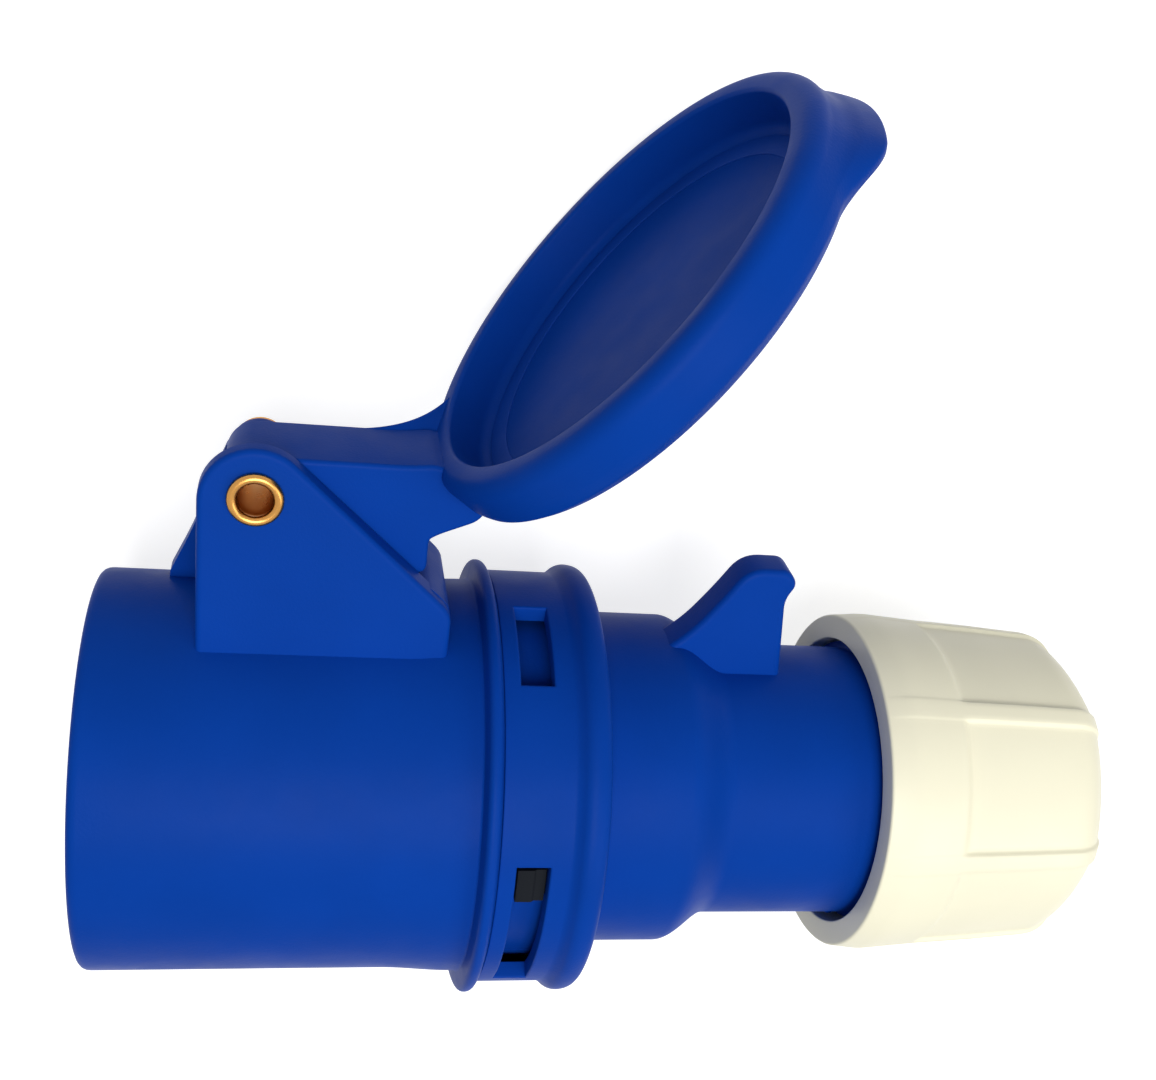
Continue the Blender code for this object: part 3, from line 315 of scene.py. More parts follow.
def surface(name, colour, roughness, grain, relief, mottle, metallic=0.0, specular=0.5):
    """A moulded or turned finish: cloudy colour, uneven gloss and a fine grain, all on object coordinates.

    The colour runs from (1 - mottle) to (1 + mottle) of itself, and the grain stands relief metres high."""
    name += "_finish"
    made = bpy.data.materials.get(name)
    if made:
        return made
    cloud_scale, gloss_scale, gloss_spread, grain_strength = 60, 220, 0.1, 0.6
    made = bpy.data.materials.new(name)
    made.use_nodes = True
    tree = made.node_tree
    nodes, link = tree.nodes, tree.links.new
    shader = nodes["Principled BSDF"]
    shader.inputs["Metallic"].default_value = metallic
    shader.inputs["Specular IOR Level"].default_value = specular
    place = nodes.new("ShaderNodeTexCoord").outputs["Object"]
    clouds = noise(tree, place, cloud_scale, 3)
    mix = nodes.new("ShaderNodeMix")
    mix.data_type = "RGBA"
    mix.inputs["A"].default_value = (*[part * (1 - mottle) for part in colour], 1)
    mix.inputs["B"].default_value = (*[min(1, part * (1 + mottle)) for part in colour], 1)
    link(spread(tree, clouds, 0, 1), mix.inputs["Factor"])
    link(mix.outputs["Result"], shader.inputs["Base Color"])
    gloss = noise(tree, place, gloss_scale, 4)
    gloss = spread(tree, gloss, roughness * (1 - gloss_spread), roughness * (1 + gloss_spread))
    link(gloss, shader.inputs["Roughness"])
    bump = nodes.new("ShaderNodeBump")
    bump.inputs["Strength"].default_value = grain_strength
    bump.inputs["Distance"].default_value = relief
    link(noise(tree, place, grain, 2), bump.inputs["Height"])
    link(bump.outputs["Normal"], shader.inputs["Normal"])
    return made


def blue_plastic():
    """The housings' and the lid's matt nylon."""
    blue = bpy.context.scene.connector_colours.body_blue
    return surface("blue_plastic", blue, roughness=0.42, grain=2600, relief=3.5e-5, mottle=0.05,
                   specular=0.03)


def cream_plastic():
    """The nut's and the cage's smoother nylon."""
    cream = bpy.context.scene.connector_colours.nut_cream
    return surface("cream_plastic", cream, roughness=0.36, grain=1500, relief=2e-5, mottle=0.02,
                   specular=0.25)


def black_plastic():
    """The carrier's, the cover's and the catch's dull plastic."""
    black = bpy.context.scene.connector_colours.insert_black
    return surface("black_plastic", black, roughness=0.45, grain=2200, relief=3e-5, mottle=0.1, specular=0.03)


def black_rubber():
    """The cable bush's and the inner seal's rubber."""
    black = (0.02, 0.02, 0.02)
    return surface("black_rubber", black, roughness=0.75, grain=1800, relief=4e-5, mottle=0.1, specular=0.3)


def blue_rubber():
    """The lid seal's rubber, in the body's blue."""
    blue = bpy.context.scene.connector_colours.body_blue
    return surface("blue_rubber", blue, roughness=0.55, grain=1800, relief=3e-5, mottle=0.08, specular=0.08)


def brass():
    """The rivet's and the contacts' turned brass."""
    yellow = bpy.context.scene.connector_colours.rivet_brass
    return surface("brass", yellow, roughness=0.28, grain=1600, relief=1e-5, mottle=0.1, metallic=1.0)


def steel():
    """The springs', the screws' and the washer's steel."""
    grey = (0.6, 0.61, 0.63)
    return surface("steel", grey, roughness=0.3, grain=1400, relief=1e-5, mottle=0.08, metallic=1.0)


FINISHES = {
    "blue_plastic": blue_plastic,
    "cream_plastic": cream_plastic,
    "black_plastic": black_plastic,
    "black_rubber": black_rubber,
    "blue_rubber": blue_rubber,
    "brass": brass,
    "steel": steel,
}


# Shapes


def collar():
    """The front housing's turned body: the collar, its front bead, the flange and the spigot.

    The collar's last stretch flares by flare_rise (3 s^2 - 2 s^3), s running from 0 to 1 along it. The
    keyway's groove and the catch's track in the spigot are cut out after turning."""
    flare_x, flare_length, flare_rise, carrier_seat = 38.9, 9.6, 0.5, 40.7
    mouth = soft_corners([(0, COLLAR_BORE), (0, COLLAR_RADIUS), (6, COLLAR_RADIUS), (6, COLLAR_BORE)],
                         [0.8, 1.4, 0, 0], 0, 1)
    s = spaced(0, 1, 12)
    flare = np.column_stack([flare_x + flare_length * s, COLLAR_RADIUS + flare_rise * eased(s)])
    bead = soft_corners([(48.4, 27.5), (49.35, 27.55), (49.75, BEAD_RADIUS), (51.15, BEAD_RADIUS),
                         (51.62, 29.05), (51.62, 28)], [0, 0.35, 1.0, 1.0, 0.05, 0], 1, 4, 9)
    spigot = soft_corners([(FLANGE_X, 30), (FLANGE_X, SPIGOT_RADIUS), (SPIGOT_END, SPIGOT_RADIUS),
                           (SPIGOT_END, SPIGOT_BORE), (carrier_seat, SPIGOT_BORE),
                           (carrier_seat, COLLAR_BORE)], [0.2, 0.2, 0.5, 0.5, 0.2, 0.2], 1, 5)
    body = revolved("front_collar", np.vstack([mouth, flare, bead, [(FLANGE_X, 28.0)], spigot]), 192)
    key_end, key_depth, key_inside, key_half = carrier_seat - 0.4, 25.2, 20, 3.8
    key_outline = [(-1, -key_depth), (key_end, -key_depth), (key_end, -key_inside), (-1, -key_inside)]
    carve(body, plate("keyway_cutter", key_outline, -key_half, key_half))
    track_front, track_rear, track_floor = 52.9, 59.2, 25.3
    track = [(track_front, track_floor), (track_rear, track_floor), (track_rear, BAND_RADIUS),
             (track_front, BAND_RADIUS)]
    carve(body, sector("track_cutter", track, 78.55, 124.8, 60))
    body.data.shade_smooth()
    body.data.set_sharp_from_angle(angle=math.radians(SHARP_ANGLE))
    return body


def sector(name, outline, start, end, steps):
    """An (x, radius) outline swept round the axis between two angles, with flat ends."""
    outline = np.asarray(outline, float)
    points = revolved_points(outline, spaced(start, end, steps))
    count = len(outline)
    return put(name, points, list(grid_faces(steps, count, False, True)) + end_caps(steps, count))


def rod(name, radius, start, end, segments=64):
    """A solid cylinder along x."""
    points = revolved_points([(start, radius), (end, radius)], full_turn(segments))
    return put(name, points, list(grid_faces(segments, 2, True, False)) + pole_caps(segments, 2))


def along_pin():
    """Stands a shape made along x up along the hinge pin."""
    return Matrix.Translation((PIN_X, PIN_Y, 0)) @ Matrix.Rotation(math.radians(-90), 4, "Y")


def ear_tip(center, radius, rear, steps):
    """An ear's round tip, from its front to where the slope down to its rear corner touches it."""
    run, drop = rear[0] - center[0], center[1] - rear[1]
    tangent = math.degrees(math.acos(radius / math.hypot(run, drop)) - math.atan2(drop, run))
    return arc(center, radius, 180, tangent, steps)


def pierced(block):
    """Drills the hinge pin's hole through a piece."""
    reach = 12
    carve(block, moved(rod("pin_cutter", PIN_HOLE_RADIUS, -reach, reach), along_pin()))
    tidy_mesh(block.data)
    return block


def near_ear():
    """The broad near ear: its outer face leans in by ear_draft for each millimetre that it rises."""
    ear_half, ear_draft, tip_drop, tip_radius, heel_y = 10.5, 0.07, 0.8, 6.8, 31.2
    tip = ear_tip((PIN_X, PIN_Y - tip_drop), tip_radius, (BRACKET_REAR, heel_y), 44)
    heel_corners = [(BRACKET_REAR, BRACKET_BASE), (BRACKET_REAR, heel_y), tip[-1]]
    heel = soft_corners(heel_corners, [0, 1.6, 0], 1, 1, 9)[::-1]
    foot = [(BRACKET_REAR, BRACKET_BASE), (PIN_X - tip_radius, BRACKET_BASE)]
    outer_face = leaning(ear_half, -ear_draft)
    return pierced(pillow("near_ear", np.vstack([foot, tip, heel]), flat(SLOT_HALF), outer_face, 0, 0.75))


def far_ear():
    """The far ear: lower and narrower at its tip, its front edge rising from a foot that reaches forward.

    Its outer face leans in as the near ear's does."""
    ear_half, ear_draft, tip_radius = 9.9, 0.07, 3.6
    front_x, base_y, rear = 9.2, 23.7, (44.6, 29.6)
    lean = soft_corners([(front_x, base_y), (front_x, 27.0), (12.6, 34.6), (14.9, 42.2), (17.6, 49)],
                        [0, 0.6, 7, 8, 0], 1, 3)
    tip = ear_tip((PIN_X, PIN_Y), tip_radius, rear, 36)[9:]
    outline = np.vstack([[(rear[0], base_y), (front_x, base_y)], lean, tip, [rear]])
    outer_face = leaning(-ear_half, ear_draft)
    return pierced(pillow("far_ear", outline, outer_face, flat(-SLOT_HALF), 0.9, 0))


def slot_floor():
    """The block between the ears that closes the arm's slot below."""
    floor_y = 34.2
    corners = [(BRACKET_REAR, BRACKET_BASE), (BRACKET_REAR, 31.2), (43.0, 33.2), (41.6, floor_y),
               (20.6, floor_y), (16.3, 27.6), (14, BRACKET_BASE)]
    outline = soft_outline(corners, [0, 1.4, 1.2, 1.2, 1.0, 0.4, 0], 5)
    return pillow("slot_floor", outline, flat(-7.0), flat(8.0), 0, 0)


def window_edges(value, scale):
    """Grid lines on both sides of a window's edge, closer towards it."""
    steps = np.array([0, 0.12, 0.3, 0.6, 1.0, 1.6]) * WINDOW_ROUND * scale
    return np.concatenate([value - steps, value + steps])


def rear_profile():
    """The rear housing's outer (x, radius) points: band, bead, handle, eased shoulder and neck."""
    edge = soft_corners([(BAND_X, BAND_BORE), (BAND_X, BAND_RADIUS), (61.3, BAND_RADIUS), (61.3, BAND_BORE)],
                        [0, 0.18, 0, 0], 1, 1)
    window_lines = [window_edges(WINDOW_FRONT, 1), window_edges(WINDOW_REAR, 1)]
    lines = np.unique(np.round(np.concatenate([*window_lines, spaced(52.2, 60.0, 16)]), 3))
    lines = lines[(lines > 52.0) & (lines < BAND_END)]
    band = np.column_stack([lines, np.full(len(lines), BAND_RADIUS)])
    bead = soft_corners([(60.1, BAND_RADIUS), (61.1, BAND_RADIUS), (62.6, BEAD_RADIUS), (65.0, 30.0),
                         (65.6, 28.2), (65.62, 26)], [0, 1.0, 1.3, 1.2, 1.0, 0], 1, 4, 9)
    foot_round = 0.9
    foot = arc((66.3, HANDLE_RADIUS + foot_round), foot_round, 180, 268, 8)
    handle = [(x, HANDLE_RADIUS) for x in (70, 74)]
    s = spaced(0, 1, 24)
    fall = HANDLE_RADIUS - NECK_RADIUS
    shoulder = np.column_stack([SHOULDER_X + SHOULDER_LENGTH * s, HANDLE_RADIUS - fall * eased(s)])
    neck = [(x, NECK_RADIUS) for x in (90, 96, 102, 108)]
    end = soft_corners([(NECK_END, 15), (NECK_END, NECK_RADIUS), (100, NECK_RADIUS)], [0, 0.6, 0], 1, 1)[::-1]
    return np.vstack([edge, band, bead, foot, handle, shoulder, neck, end])


def shell_faces(open_cell):
    """Faces of a wall with openings: an outer grid, closed round its rows, and a like inner one behind it.

    Both skins leave the open cells out. Rims join the skins at both ends, and walls join them round every
    opening, wherever an open cell lies beside a closed one."""
    rows, columns = open_cell.shape[0], open_cell.shape[1] + 1
    shift = rows * columns
    number = np.arange(shift).reshape(rows, columns)
    after = np.roll(number, -1, 0)
    kept = grid_faces(rows, columns, True, False).reshape(rows, columns - 1, 4)[~open_cell]

    def joined(one, other):
        """Walls from the edges one to other of the outer skin to the inner skin."""
        return np.stack([one, other, other + shift, one + shift], -1)

    rims = [joined(number[:, edge], after[:, edge]) for edge in (0, -1)]
    i, j = np.nonzero(open_cell != np.roll(open_cell, 1, 0))
    across = joined(number[i, j], number[i, j + 1])
    padded = np.pad(open_cell, ((0, 0), (1, 1)))
    i, j = np.nonzero(padded[:, 1:] != padded[:, :-1])
    along = joined(number[i, j], after[i, j])
    return np.vstack([kept, kept[:, ::-1] + shift, *rims, across, along])


def rear_shell():
    """The rear housing as one wall pierced by windows.

    Outer point (i, j) is (x_j, r_j - drop) turned to angle i. The drop rounds each window's rim: with d
    the distance outside the window and q the rounding, it is q (1 - sqrt(1 - (1 - d / q)^2)) for d < q."""
    degrees_per_mm = 180 / math.pi / BAND_RADIUS
    edges = [window_edges(edge, degrees_per_mm) for window in WINDOW_ANGLES for edge in window]
    angles = np.unique(np.round(np.concatenate([full_turn(240), *edges]) % 360, 3))
    outer = rear_profile()
    a, x = angles[:, None], outer[None, :, 0]
    radius = np.broadcast_to(outer[None, :, 1], (len(angles), len(outer))).copy()
    middle_a = ((angles + np.append(angles[1:], angles[0] + 360)) / 2)[:, None]
    middle_x = (outer[:-1, 0] + outer[1:, 0]) / 2
    open_cell = np.zeros((len(angles), len(outer) - 1), bool)
    for start, end in WINDOW_ANGLES:
        middle, half = (start + end) / 2, (end - start) / 2
        away = (np.abs((a - middle + 180) % 360 - 180) - half) / degrees_per_mm
        beside = np.maximum(WINDOW_FRONT - x, x - WINDOW_REAR)
        distance = np.hypot(np.maximum(away, 0), np.maximum(beside, 0))
        near = np.clip(1 - distance / WINDOW_ROUND, 0, 1)
        radius -= np.where(x < BAND_END, WINDOW_ROUND * (1 - np.sqrt(1 - near**2)), 0)
        in_angle = (middle_a > start) & (middle_a < end)
        open_cell |= in_angle & (middle_x > WINDOW_FRONT) & (middle_x < WINDOW_REAR)
    turn = np.radians(a)
    outside = np.stack([np.broadcast_to(x, radius.shape), radius * np.cos(turn), radius * np.sin(turn)], -1)
    bore = np.interp(outer[:, 0], [BAND_X, 60.8, 60.9, 74.5, SHOULDER_X + SHOULDER_LENGTH, NECK_END],
                     [BAND_BORE, BAND_BORE, HANDLE_BORE, HANDLE_BORE, NECK_BORE, NECK_BORE])
    inside = revolved_points(np.column_stack([outer[:, 0], bore]), angles)
    points = np.vstack([outside.reshape(-1, 3), inside.reshape(-1, 3)])
    return put("rear_shell", points, shell_faces(open_cell), 40)


def thumb_fin():
    """The thumb fin: an almost straight front slope, a round top and a small lip at the rear."""
    slope = [(69, 17), (71, 19), (75.2, 22.6), (78.8, 25.8), (82.3, 30.8)]
    top = [(85.3, FIN_TOP), (91.0, FIN_TOP)]
    rear = [(92.6, 33.9), (91.3, 31.4), (93.2, 17)]
    outline = soft_outline(slope + top + rear, [0, 0, 1.5, 2.4, 3.0, 2.6, 1.0, 1.1, 1.4, 0], 8)
    return pillow("thumb_fin", outline, flat(-FIN_HALF), flat(FIN_HALF), 0.85, 0.85)


def thread():
    """The neck's thread: a trapezium carried along a helix, low at both ends.

    At share t the section stands at angle start + 360 turns t and at x = thread_x + pitch turns t."""
    turns, pitch, thread_x, start, crest, root, sunk = 3.6, 3.0, 105.6, 145, 1.0, -0.3, 0.05
    t = spaced(0, 1, 260)[:, None]
    angle = np.radians(start + 360 * turns * t)
    height = crest * np.clip(np.minimum(t, 1 - t) * 60, 0.35, 1)
    across = np.array([-0.9, -0.35, 0.35, 0.9])[None]
    up = np.where(np.array([False, True, True, False])[None], height, root)
    radius = NECK_RADIUS - sunk + up
    x = thread_x + pitch * turns * t + across
    points = np.stack([x, radius * np.cos(angle), radius * np.sin(angle)], -1)
    return put("neck_thread", points, list(grid_faces(len(t), 4, False, True)) + end_caps(len(t), 4))


def tab_growth(angle):
    """Share of the tab's length at an angle from the lid's far end: 1 near the middle, eased to 0."""
    away = np.abs(angle) / math.degrees(bpy.context.scene.connector_sizes.tab_half_angle)
    return eased(np.clip((1 - away) * 2, 0, 1))


def lid_to_body(points):
    """From the lid's frame (x from the pin to the disc's middle, y out of its inside) to the connector's."""
    a = math.radians(LID_REST_ANGLE)
    x, y, z = points[..., 0], points[..., 1], points[..., 2]
    along = PIN_X + x * math.cos(a) - y * math.sin(a)
    across = PIN_Y + x * math.sin(a) + y * math.cos(a)
    return np.stack([along, across, z], -1)


def turned_on_lid(radius, depth, angles):
    """Points at a radius from the disc's middle and a depth behind the rim's plane, for angles round it."""
    a = np.radians(angles)[:, None]
    x = LID_CENTER + radius * np.cos(a)
    return lid_to_body(np.stack([x, np.broadcast_to(RIM_PLANE - depth, x.shape), radius * np.sin(a)], -1))


def smooth_rows(keys, steps):
    """Catmull-Rom curve through key rows: each span is a cubic with the slope of its neighbours' chord."""
    k = np.asarray(keys, float)
    before = np.vstack([k[:1], k[:-1]])[:-1]
    start, end = k[:-1], k[1:]
    after = np.vstack([k[1:], k[-1:]])[1:]
    t = np.arange(steps)[None, :, None] / steps
    a, b, c, d = (row[:, None] for row in (before, start, end, after))
    curve = b + 0.5 * t * (c - a + t * (2 * a - 5 * b + 4 * c - d + t * (3 * (b - c) + d - a)))
    return np.vstack([curve.reshape(-1, k.shape[1]), k[-1:]])


def lid_section():
    """Half of the cap's section, as rows (depth behind the rim, radius, reach share, sink share).

    It runs from the middle of the back over the edge and the rim, and through the recess to its middle."""
    back_round, rim_round, lip_round, hollow_round, recess_radius = 4.5, 2.2, 0.6, 1.6, 28.1

    def still(points):
        """Points that the tab leaves where they are."""
        return np.column_stack([points, np.zeros((len(points), 2))])

    crown = ((0.6, 0.01, 0), (0.5, 10, 0), (0.3, 19.2, 0), (0.15, 24, 0.1))
    middle = [(LID_THICKNESS + rise, radius, reach, 0) for rise, radius, reach in crown]
    turn = spaced(0, 1, 9)
    corner = (LID_THICKNESS - back_round, LID_RADIUS - back_round)
    back = np.column_stack([arc(corner, back_round, 0, 45, 9), 0.3 + 0.67 * turn, turn**1.3])
    tab_rows = [(7.58, 30.68, 0.97, 1), (6.9, 31.4, 0.93, 1), (6.3, 31.7, 0.78, 0.9),
                (5.15, LID_RADIUS, 0.42, 0.55), (4.25, LID_RADIUS, 0.17, 0.25),
                (2.93, LID_RADIUS, 0.03, 0.02), (rim_round, LID_RADIUS, 0, 0)]
    tab = smooth_rows(tab_rows, 6)[1:]
    tab[:, 1] = np.minimum(tab[:, 1], LID_RADIUS)
    front = still(arc((rim_round, LID_RADIUS - rim_round), rim_round, 96, 174, 9))
    lip = still(arc((lip_round, recess_radius + lip_round), lip_round, 190, 270, 6))
    hollow = still(arc((LID_RECESS - hollow_round, recess_radius - hollow_round), hollow_round, 90, 0, 10))
    floor = [(LID_RECESS, radius, 0, 0) for radius in (20, 10, 0.01)]
    return np.vstack([middle, back, tab, front, lip, hollow, floor])


def lid_cap():
    """The lid's cap: its section turned round the disc's middle, the rim drawn out and back into the tab.

    At angle a from the far end, with g = tab_growth(a), the section's radius grows by tab_reach * reach
    share * g and its depth by tab_sink * sink share * g."""
    sizes = bpy.context.scene.connector_sizes
    section = lid_section()
    angles = full_turn(288)
    grow = tab_growth((angles + 180) % 360 - 180)[:, None]
    reach = section[None, :, 1] + sizes.tab_reach * MM_PER_METRE * section[None, :, 2] * grow
    depth = section[None, :, 0] + sizes.tab_sink * MM_PER_METRE * section[None, :, 3] * grow
    faces = list(grid_faces(len(angles), len(section), True, False)) + pole_caps(len(angles), len(section))
    return put("lid_cap", turned_on_lid(reach, depth, angles), faces, 42)


def lid_arm():
    """The block between the ears: level on top, round at the pin, its heel down in the slot.

    Its outline is given from the pin: the round hub, the top, the end in the lid's rim, and the heel."""
    hub = arc((0, 0), 4.1, 205, 105, 24)
    top_y, heel_x, heel_y = 4.0, 21.2, -10.6
    corners = [(0.6, top_y), (17.9, top_y), (21.0, 4.3), (23.2, 3.9), (26.1, 2.2), (28.4, -0.4), (27.4, -2.9),
               (22.4, -5.1), (heel_x, -5.9), (heel_x, heel_y), (-2.05, heel_y)]
    rounds = [0.8, 1.5, 0.5, 0.5, 0.8, 1.4, 1.4, 1.4, 0.5, 1.3, 1.3]
    outline = soft_outline(np.vstack([hub, corners]), [0] * len(hub) + rounds) + np.array([PIN_X, PIN_Y])
    return pierced(pillow("lid_arm", outline, flat(-ARM_HALF), flat(ARM_HALF), 0.6, 0.6))


def bezier(corners, t):
    """(1-t)^3 A + 3 t (1-t)^2 B + 3 t^2 (1-t) C + t^3 D."""
    a, b, c, d = np.asarray(corners, float)
    return (1 - t) ** 3 * a + 3 * t * (1 - t) ** 2 * b + 3 * t**2 * (1 - t) * c + t**3 * d


def arm_flare():
    """The web that widens the arm's far side into the lid's rim, its ends buried in both.

    At share t along it the web reaches from I(t), inside the arm, to E(t). Its section at angle f is
    (I + E) / 2 + sqrt|cos f| (E - I) / 2 + thickness (sqrt|sin f| - 1) in y, each root with its sign."""
    rows, columns, thickness = 40, 32, 1.3
    t = spaced(0, 1, rows)[:, None]
    inner = np.array([(9, 3.85, -4.4)]) + t * np.array([(13.4, 0, -1.4)])
    outer = bezier([(9, 3.9, -5.6), (16, 3.9, -5.5), (22.0, 5.3, -6.2), (26.2, 8.0, -16.5)], t)
    angle = np.radians(full_turn(columns))
    side = np.sign(np.cos(angle)) * np.sqrt(np.abs(np.cos(angle)))
    rise = np.sign(np.sin(angle)) * np.sqrt(np.abs(np.sin(angle)))
    middle, half = (inner + outer) / 2, (outer - inner) / 2
    points = middle[:, None] + side[None, :, None] * half[:, None]
    points[..., 1] += thickness * (rise - 1)[None]
    points += np.array([PIN_X, PIN_Y, 0])
    faces = list(grid_faces(rows, columns, False, True)) + end_caps(rows, columns)
    return put("arm_flare", points, faces, 60)


def lid_seal():
    """The thin flat ring on the lid's floor: a (depth, radius) section turned round the disc's middle."""
    section = soft_outline([(6.75, 24.1), (6.75, 27.0), (6.3, 26.9), (6.25, 25.6), (6.42, 24.1)],
                           [0.1, 0.1, 0.2, 0.8, 0.15])
    points = turned_on_lid(section[None, :, 1], section[None, :, 0], full_turn(180))
    return put("lid_seal_ring", points, grid_faces(180, len(section), True, True))


def rivet():
    """The hollow rivet: a thin tube whose ends roll over the ears as round rims."""
    tube_radius, bore, mouth_bore = 2.7, 2.1, 2.14
    halves = []
    for seat, middle, roll in ((9.2, 2.76, 0.62), (8.75, 2.62, 0.54)):
        rim = arc((seat + 0.12, middle), roll, 115, -115, 22)
        tube = [(0, tube_radius), (seat - 0.1, tube_radius)]
        inside = [(seat - 0.5, mouth_bore), (seat - 2, bore), (0, bore)]
        halves.append(np.vstack([tube, rim, inside]))
    far_half = halves[1][::-1] * np.array([-1, 1])
    made = revolved("hinge_rivet", np.vstack([halves[0], far_half[1:-1]]), 96)
    return moved(made, along_pin())


def grip(radius, angle, share):
    """The nut's radius: it drops by share (panel_depth + PANEL_DISH (1 - m^2)) in each panel.

    m runs from -1 to 1 across a panel, and the step at its edge is eased over PANEL_EASE degrees."""
    depth = bpy.context.scene.connector_sizes.panel_depth * MM_PER_METRE
    away = (angle - FIRST_RIDGE) % PANEL_PITCH
    step = eased(np.clip(np.minimum(away - RIDGE_WIDTH, PANEL_PITCH - away) / PANEL_EASE, 0, 1))
    m = (away - RIDGE_WIDTH) / (PANEL_PITCH - RIDGE_WIDTH) * 2 - 1
    return radius - share * step * (depth + PANEL_DISH * (1 - np.clip(m, -1, 1) ** 2))


def nut_angles():
    """Angles round the nut, closer at the edges of its panels."""
    edge = np.array([0.3, 0.65, 1.0, 1.4])
    offsets = np.concatenate([spaced(0, RIDGE_WIDTH, 5), RIDGE_WIDTH + edge,
                              spaced(RIDGE_WIDTH + 2.8, PANEL_PITCH - 2.8, 22), PANEL_PITCH - edge[::-1]])
    return (FIRST_RIDGE + np.arange(PANEL_COUNT)[:, None] * PANEL_PITCH + offsets[None]).ravel()


def nut():
    """The gland nut: a tapering front, seven sunk panels between ridges, a domed cable end.

    A profile point is (x, radius, panel share), and grip gives the radius at each angle."""
    faint = 0.16
    t = np.radians(spaced(4, 88, 20))
    shown = np.clip(spaced(0, 2.6, 20), 0, 1)
    dome = np.column_stack([133.9 + 6.6 * np.cos(t), 15.5 + 7.8 * np.sin(t), shown])
    end = [(NUT_END - 0.05, 11.6, 0), (NUT_END, 12.2, 0), (NUT_END, 15.2, 0)]
    panel = [(130, 23.6, 1), (126, 23.9, 1), (121, 24.2, 1), (118, 24.35, 1), (117.3, 24.4, 0.96),
             (116.9, 24.42, 0.8), (116.5, 24.45, 0.45), (116.1, 24.5, 0.18), (115.7, 24.52, faint)]
    front_corners = [(115, 24.55), (108.6, 25.1), (NUT_FRONT, 24.6), (NUT_FRONT, NUT_BORE), (108, NUT_BORE)]
    front = soft_corners(front_corners, [0, 1.2, 0.4, 0.3, 0], 1, 3)
    front = np.column_stack([front, np.where(front[:, 0] > 106, faint, 0)])
    inside = [(110.3, NUT_BORE, 0), (110.9, 20.8, 0), (125.6, 20.8, 0), (125.7, 18.8, 0), (131, 14.8, 0),
              (132.6, 14.8, 0), (132.6, 9.0, 0), (138.3, 9.0, 0), (139.2, 9.3, 0), (139.9, 9.9, 0),
              (140.3, 10.7, 0)]
    profile = np.vstack([end, dome, panel, front, inside])
    a = nut_angles()[:, None]
    radius = grip(profile[None, :, 1], a, profile[None, :, 2])
    x = np.broadcast_to(profile[None, :, 0], radius.shape)
    points = np.stack([x, radius * np.cos(np.radians(a)), radius * np.sin(np.radians(a))], -1)
    return put("nut", points, grid_faces(len(a), len(profile), True, True), 40)


def slider():
    """The locking slider: a foot under the band and a block with one step that shows in the window."""
    front, rear, foot, ledge, lower_top, top = 53.2, 58.9, 25.6, 26.6, 28.0, 28.3
    corners = [(front, foot), (rear, foot), (rear, ledge), (rear - 1, ledge), (rear - 1, lower_top),
               (56.6, lower_top), (56.3, top), (front + 1, top), (front + 1, ledge), (front, ledge)]
    return sector("slider_block", soft_outline(corners, [0.1] * 10, 3), 79.6, 89.1, 20)


def pin_hole(pin):
    """The cutter of one pin's hole: a lead-in, the throat and the wider room for the contact."""
    throat, room = pin / 2 + 0.2, pin / 2 + 1.9
    profile = [(3, pin / 2 + 1.3), (4.9, throat), (7.9, throat), (8.0, room), (60, room)]
    points = revolved_points(profile, full_turn(64))
    return put("hole_cutter", points, list(grid_faces(64, 5, True, False)) + pole_caps(64, 5))


def insert():
    """The contact carrier's turned body, with pin holes and holes for the terminal and cover screws."""
    front_x, body_radius, flange_radius, flange_x, flange_end, rear_x = 4, 17.8, 23.7, 41.0, 46.0, 58
    profile = soft_outline([(front_x, 0.02), (front_x, body_radius), (flange_x, body_radius),
                            (flange_x, flange_radius), (flange_end, flange_radius), (flange_end, body_radius),
                            (rear_x, body_radius), (rear_x, 0.02)], [0, 1.2, 0.2, 0.3, 0.3, 0.2, 0.3, 0])
    points = revolved_points(profile, full_turn(144))
    faces = list(grid_faces(144, len(profile), True, False)) + pole_caps(144, len(profile))
    body = put("insert", points, faces)
    outwards = Matrix.Rotation(math.radians(90), 4, "Z")
    for angle, pin in ((180, 7.0), (60, 5.0), (-60, 5.0)):
        place = Matrix.Rotation(math.radians(angle), 4, "X") @ Matrix.Translation((0, 10, 0))
        carve(body, moved(pin_hole(pin), place))
        access = rod("access_cutter", 3.0, 1, body_radius, 48)
        carve(body, moved(access, place @ Matrix.Translation((52.5, 0, 0)) @ outwards))
    carve(body, rod("screw_cutter", 1.8, 48, 59, 32))
    tidy_mesh(body.data)
    return body


# The add-on


class ConnectorColours(bpy.types.PropertyGroup):
    """Colours of the connector's materials"""

    body_blue: FloatVectorProperty(
        name="Body blue", description="Colour of the housings and the lid", subtype="COLOR", size=3,
        min=0, max=1, default=(0.002, 0.046, 0.33))
    nut_cream: FloatVectorProperty(
        name="Nut cream", description="Colour of the gland nut", subtype="COLOR", size=3,
        min=0, max=1, default=(0.92, 0.885, 0.68))
    insert_black: FloatVectorProperty(
        name="Insert black", description="Colour of the contact carrier and the slider",
        subtype="COLOR", size=3, min=0, max=1, default=(0.012, 0.014, 0.018))
    rivet_brass: FloatVectorProperty(
        name="Rivet brass", description="Colour of the hinge rivet and the contacts", subtype="COLOR", size=3,
        min=0, max=1, default=(0.56, 0.28, 0.075))


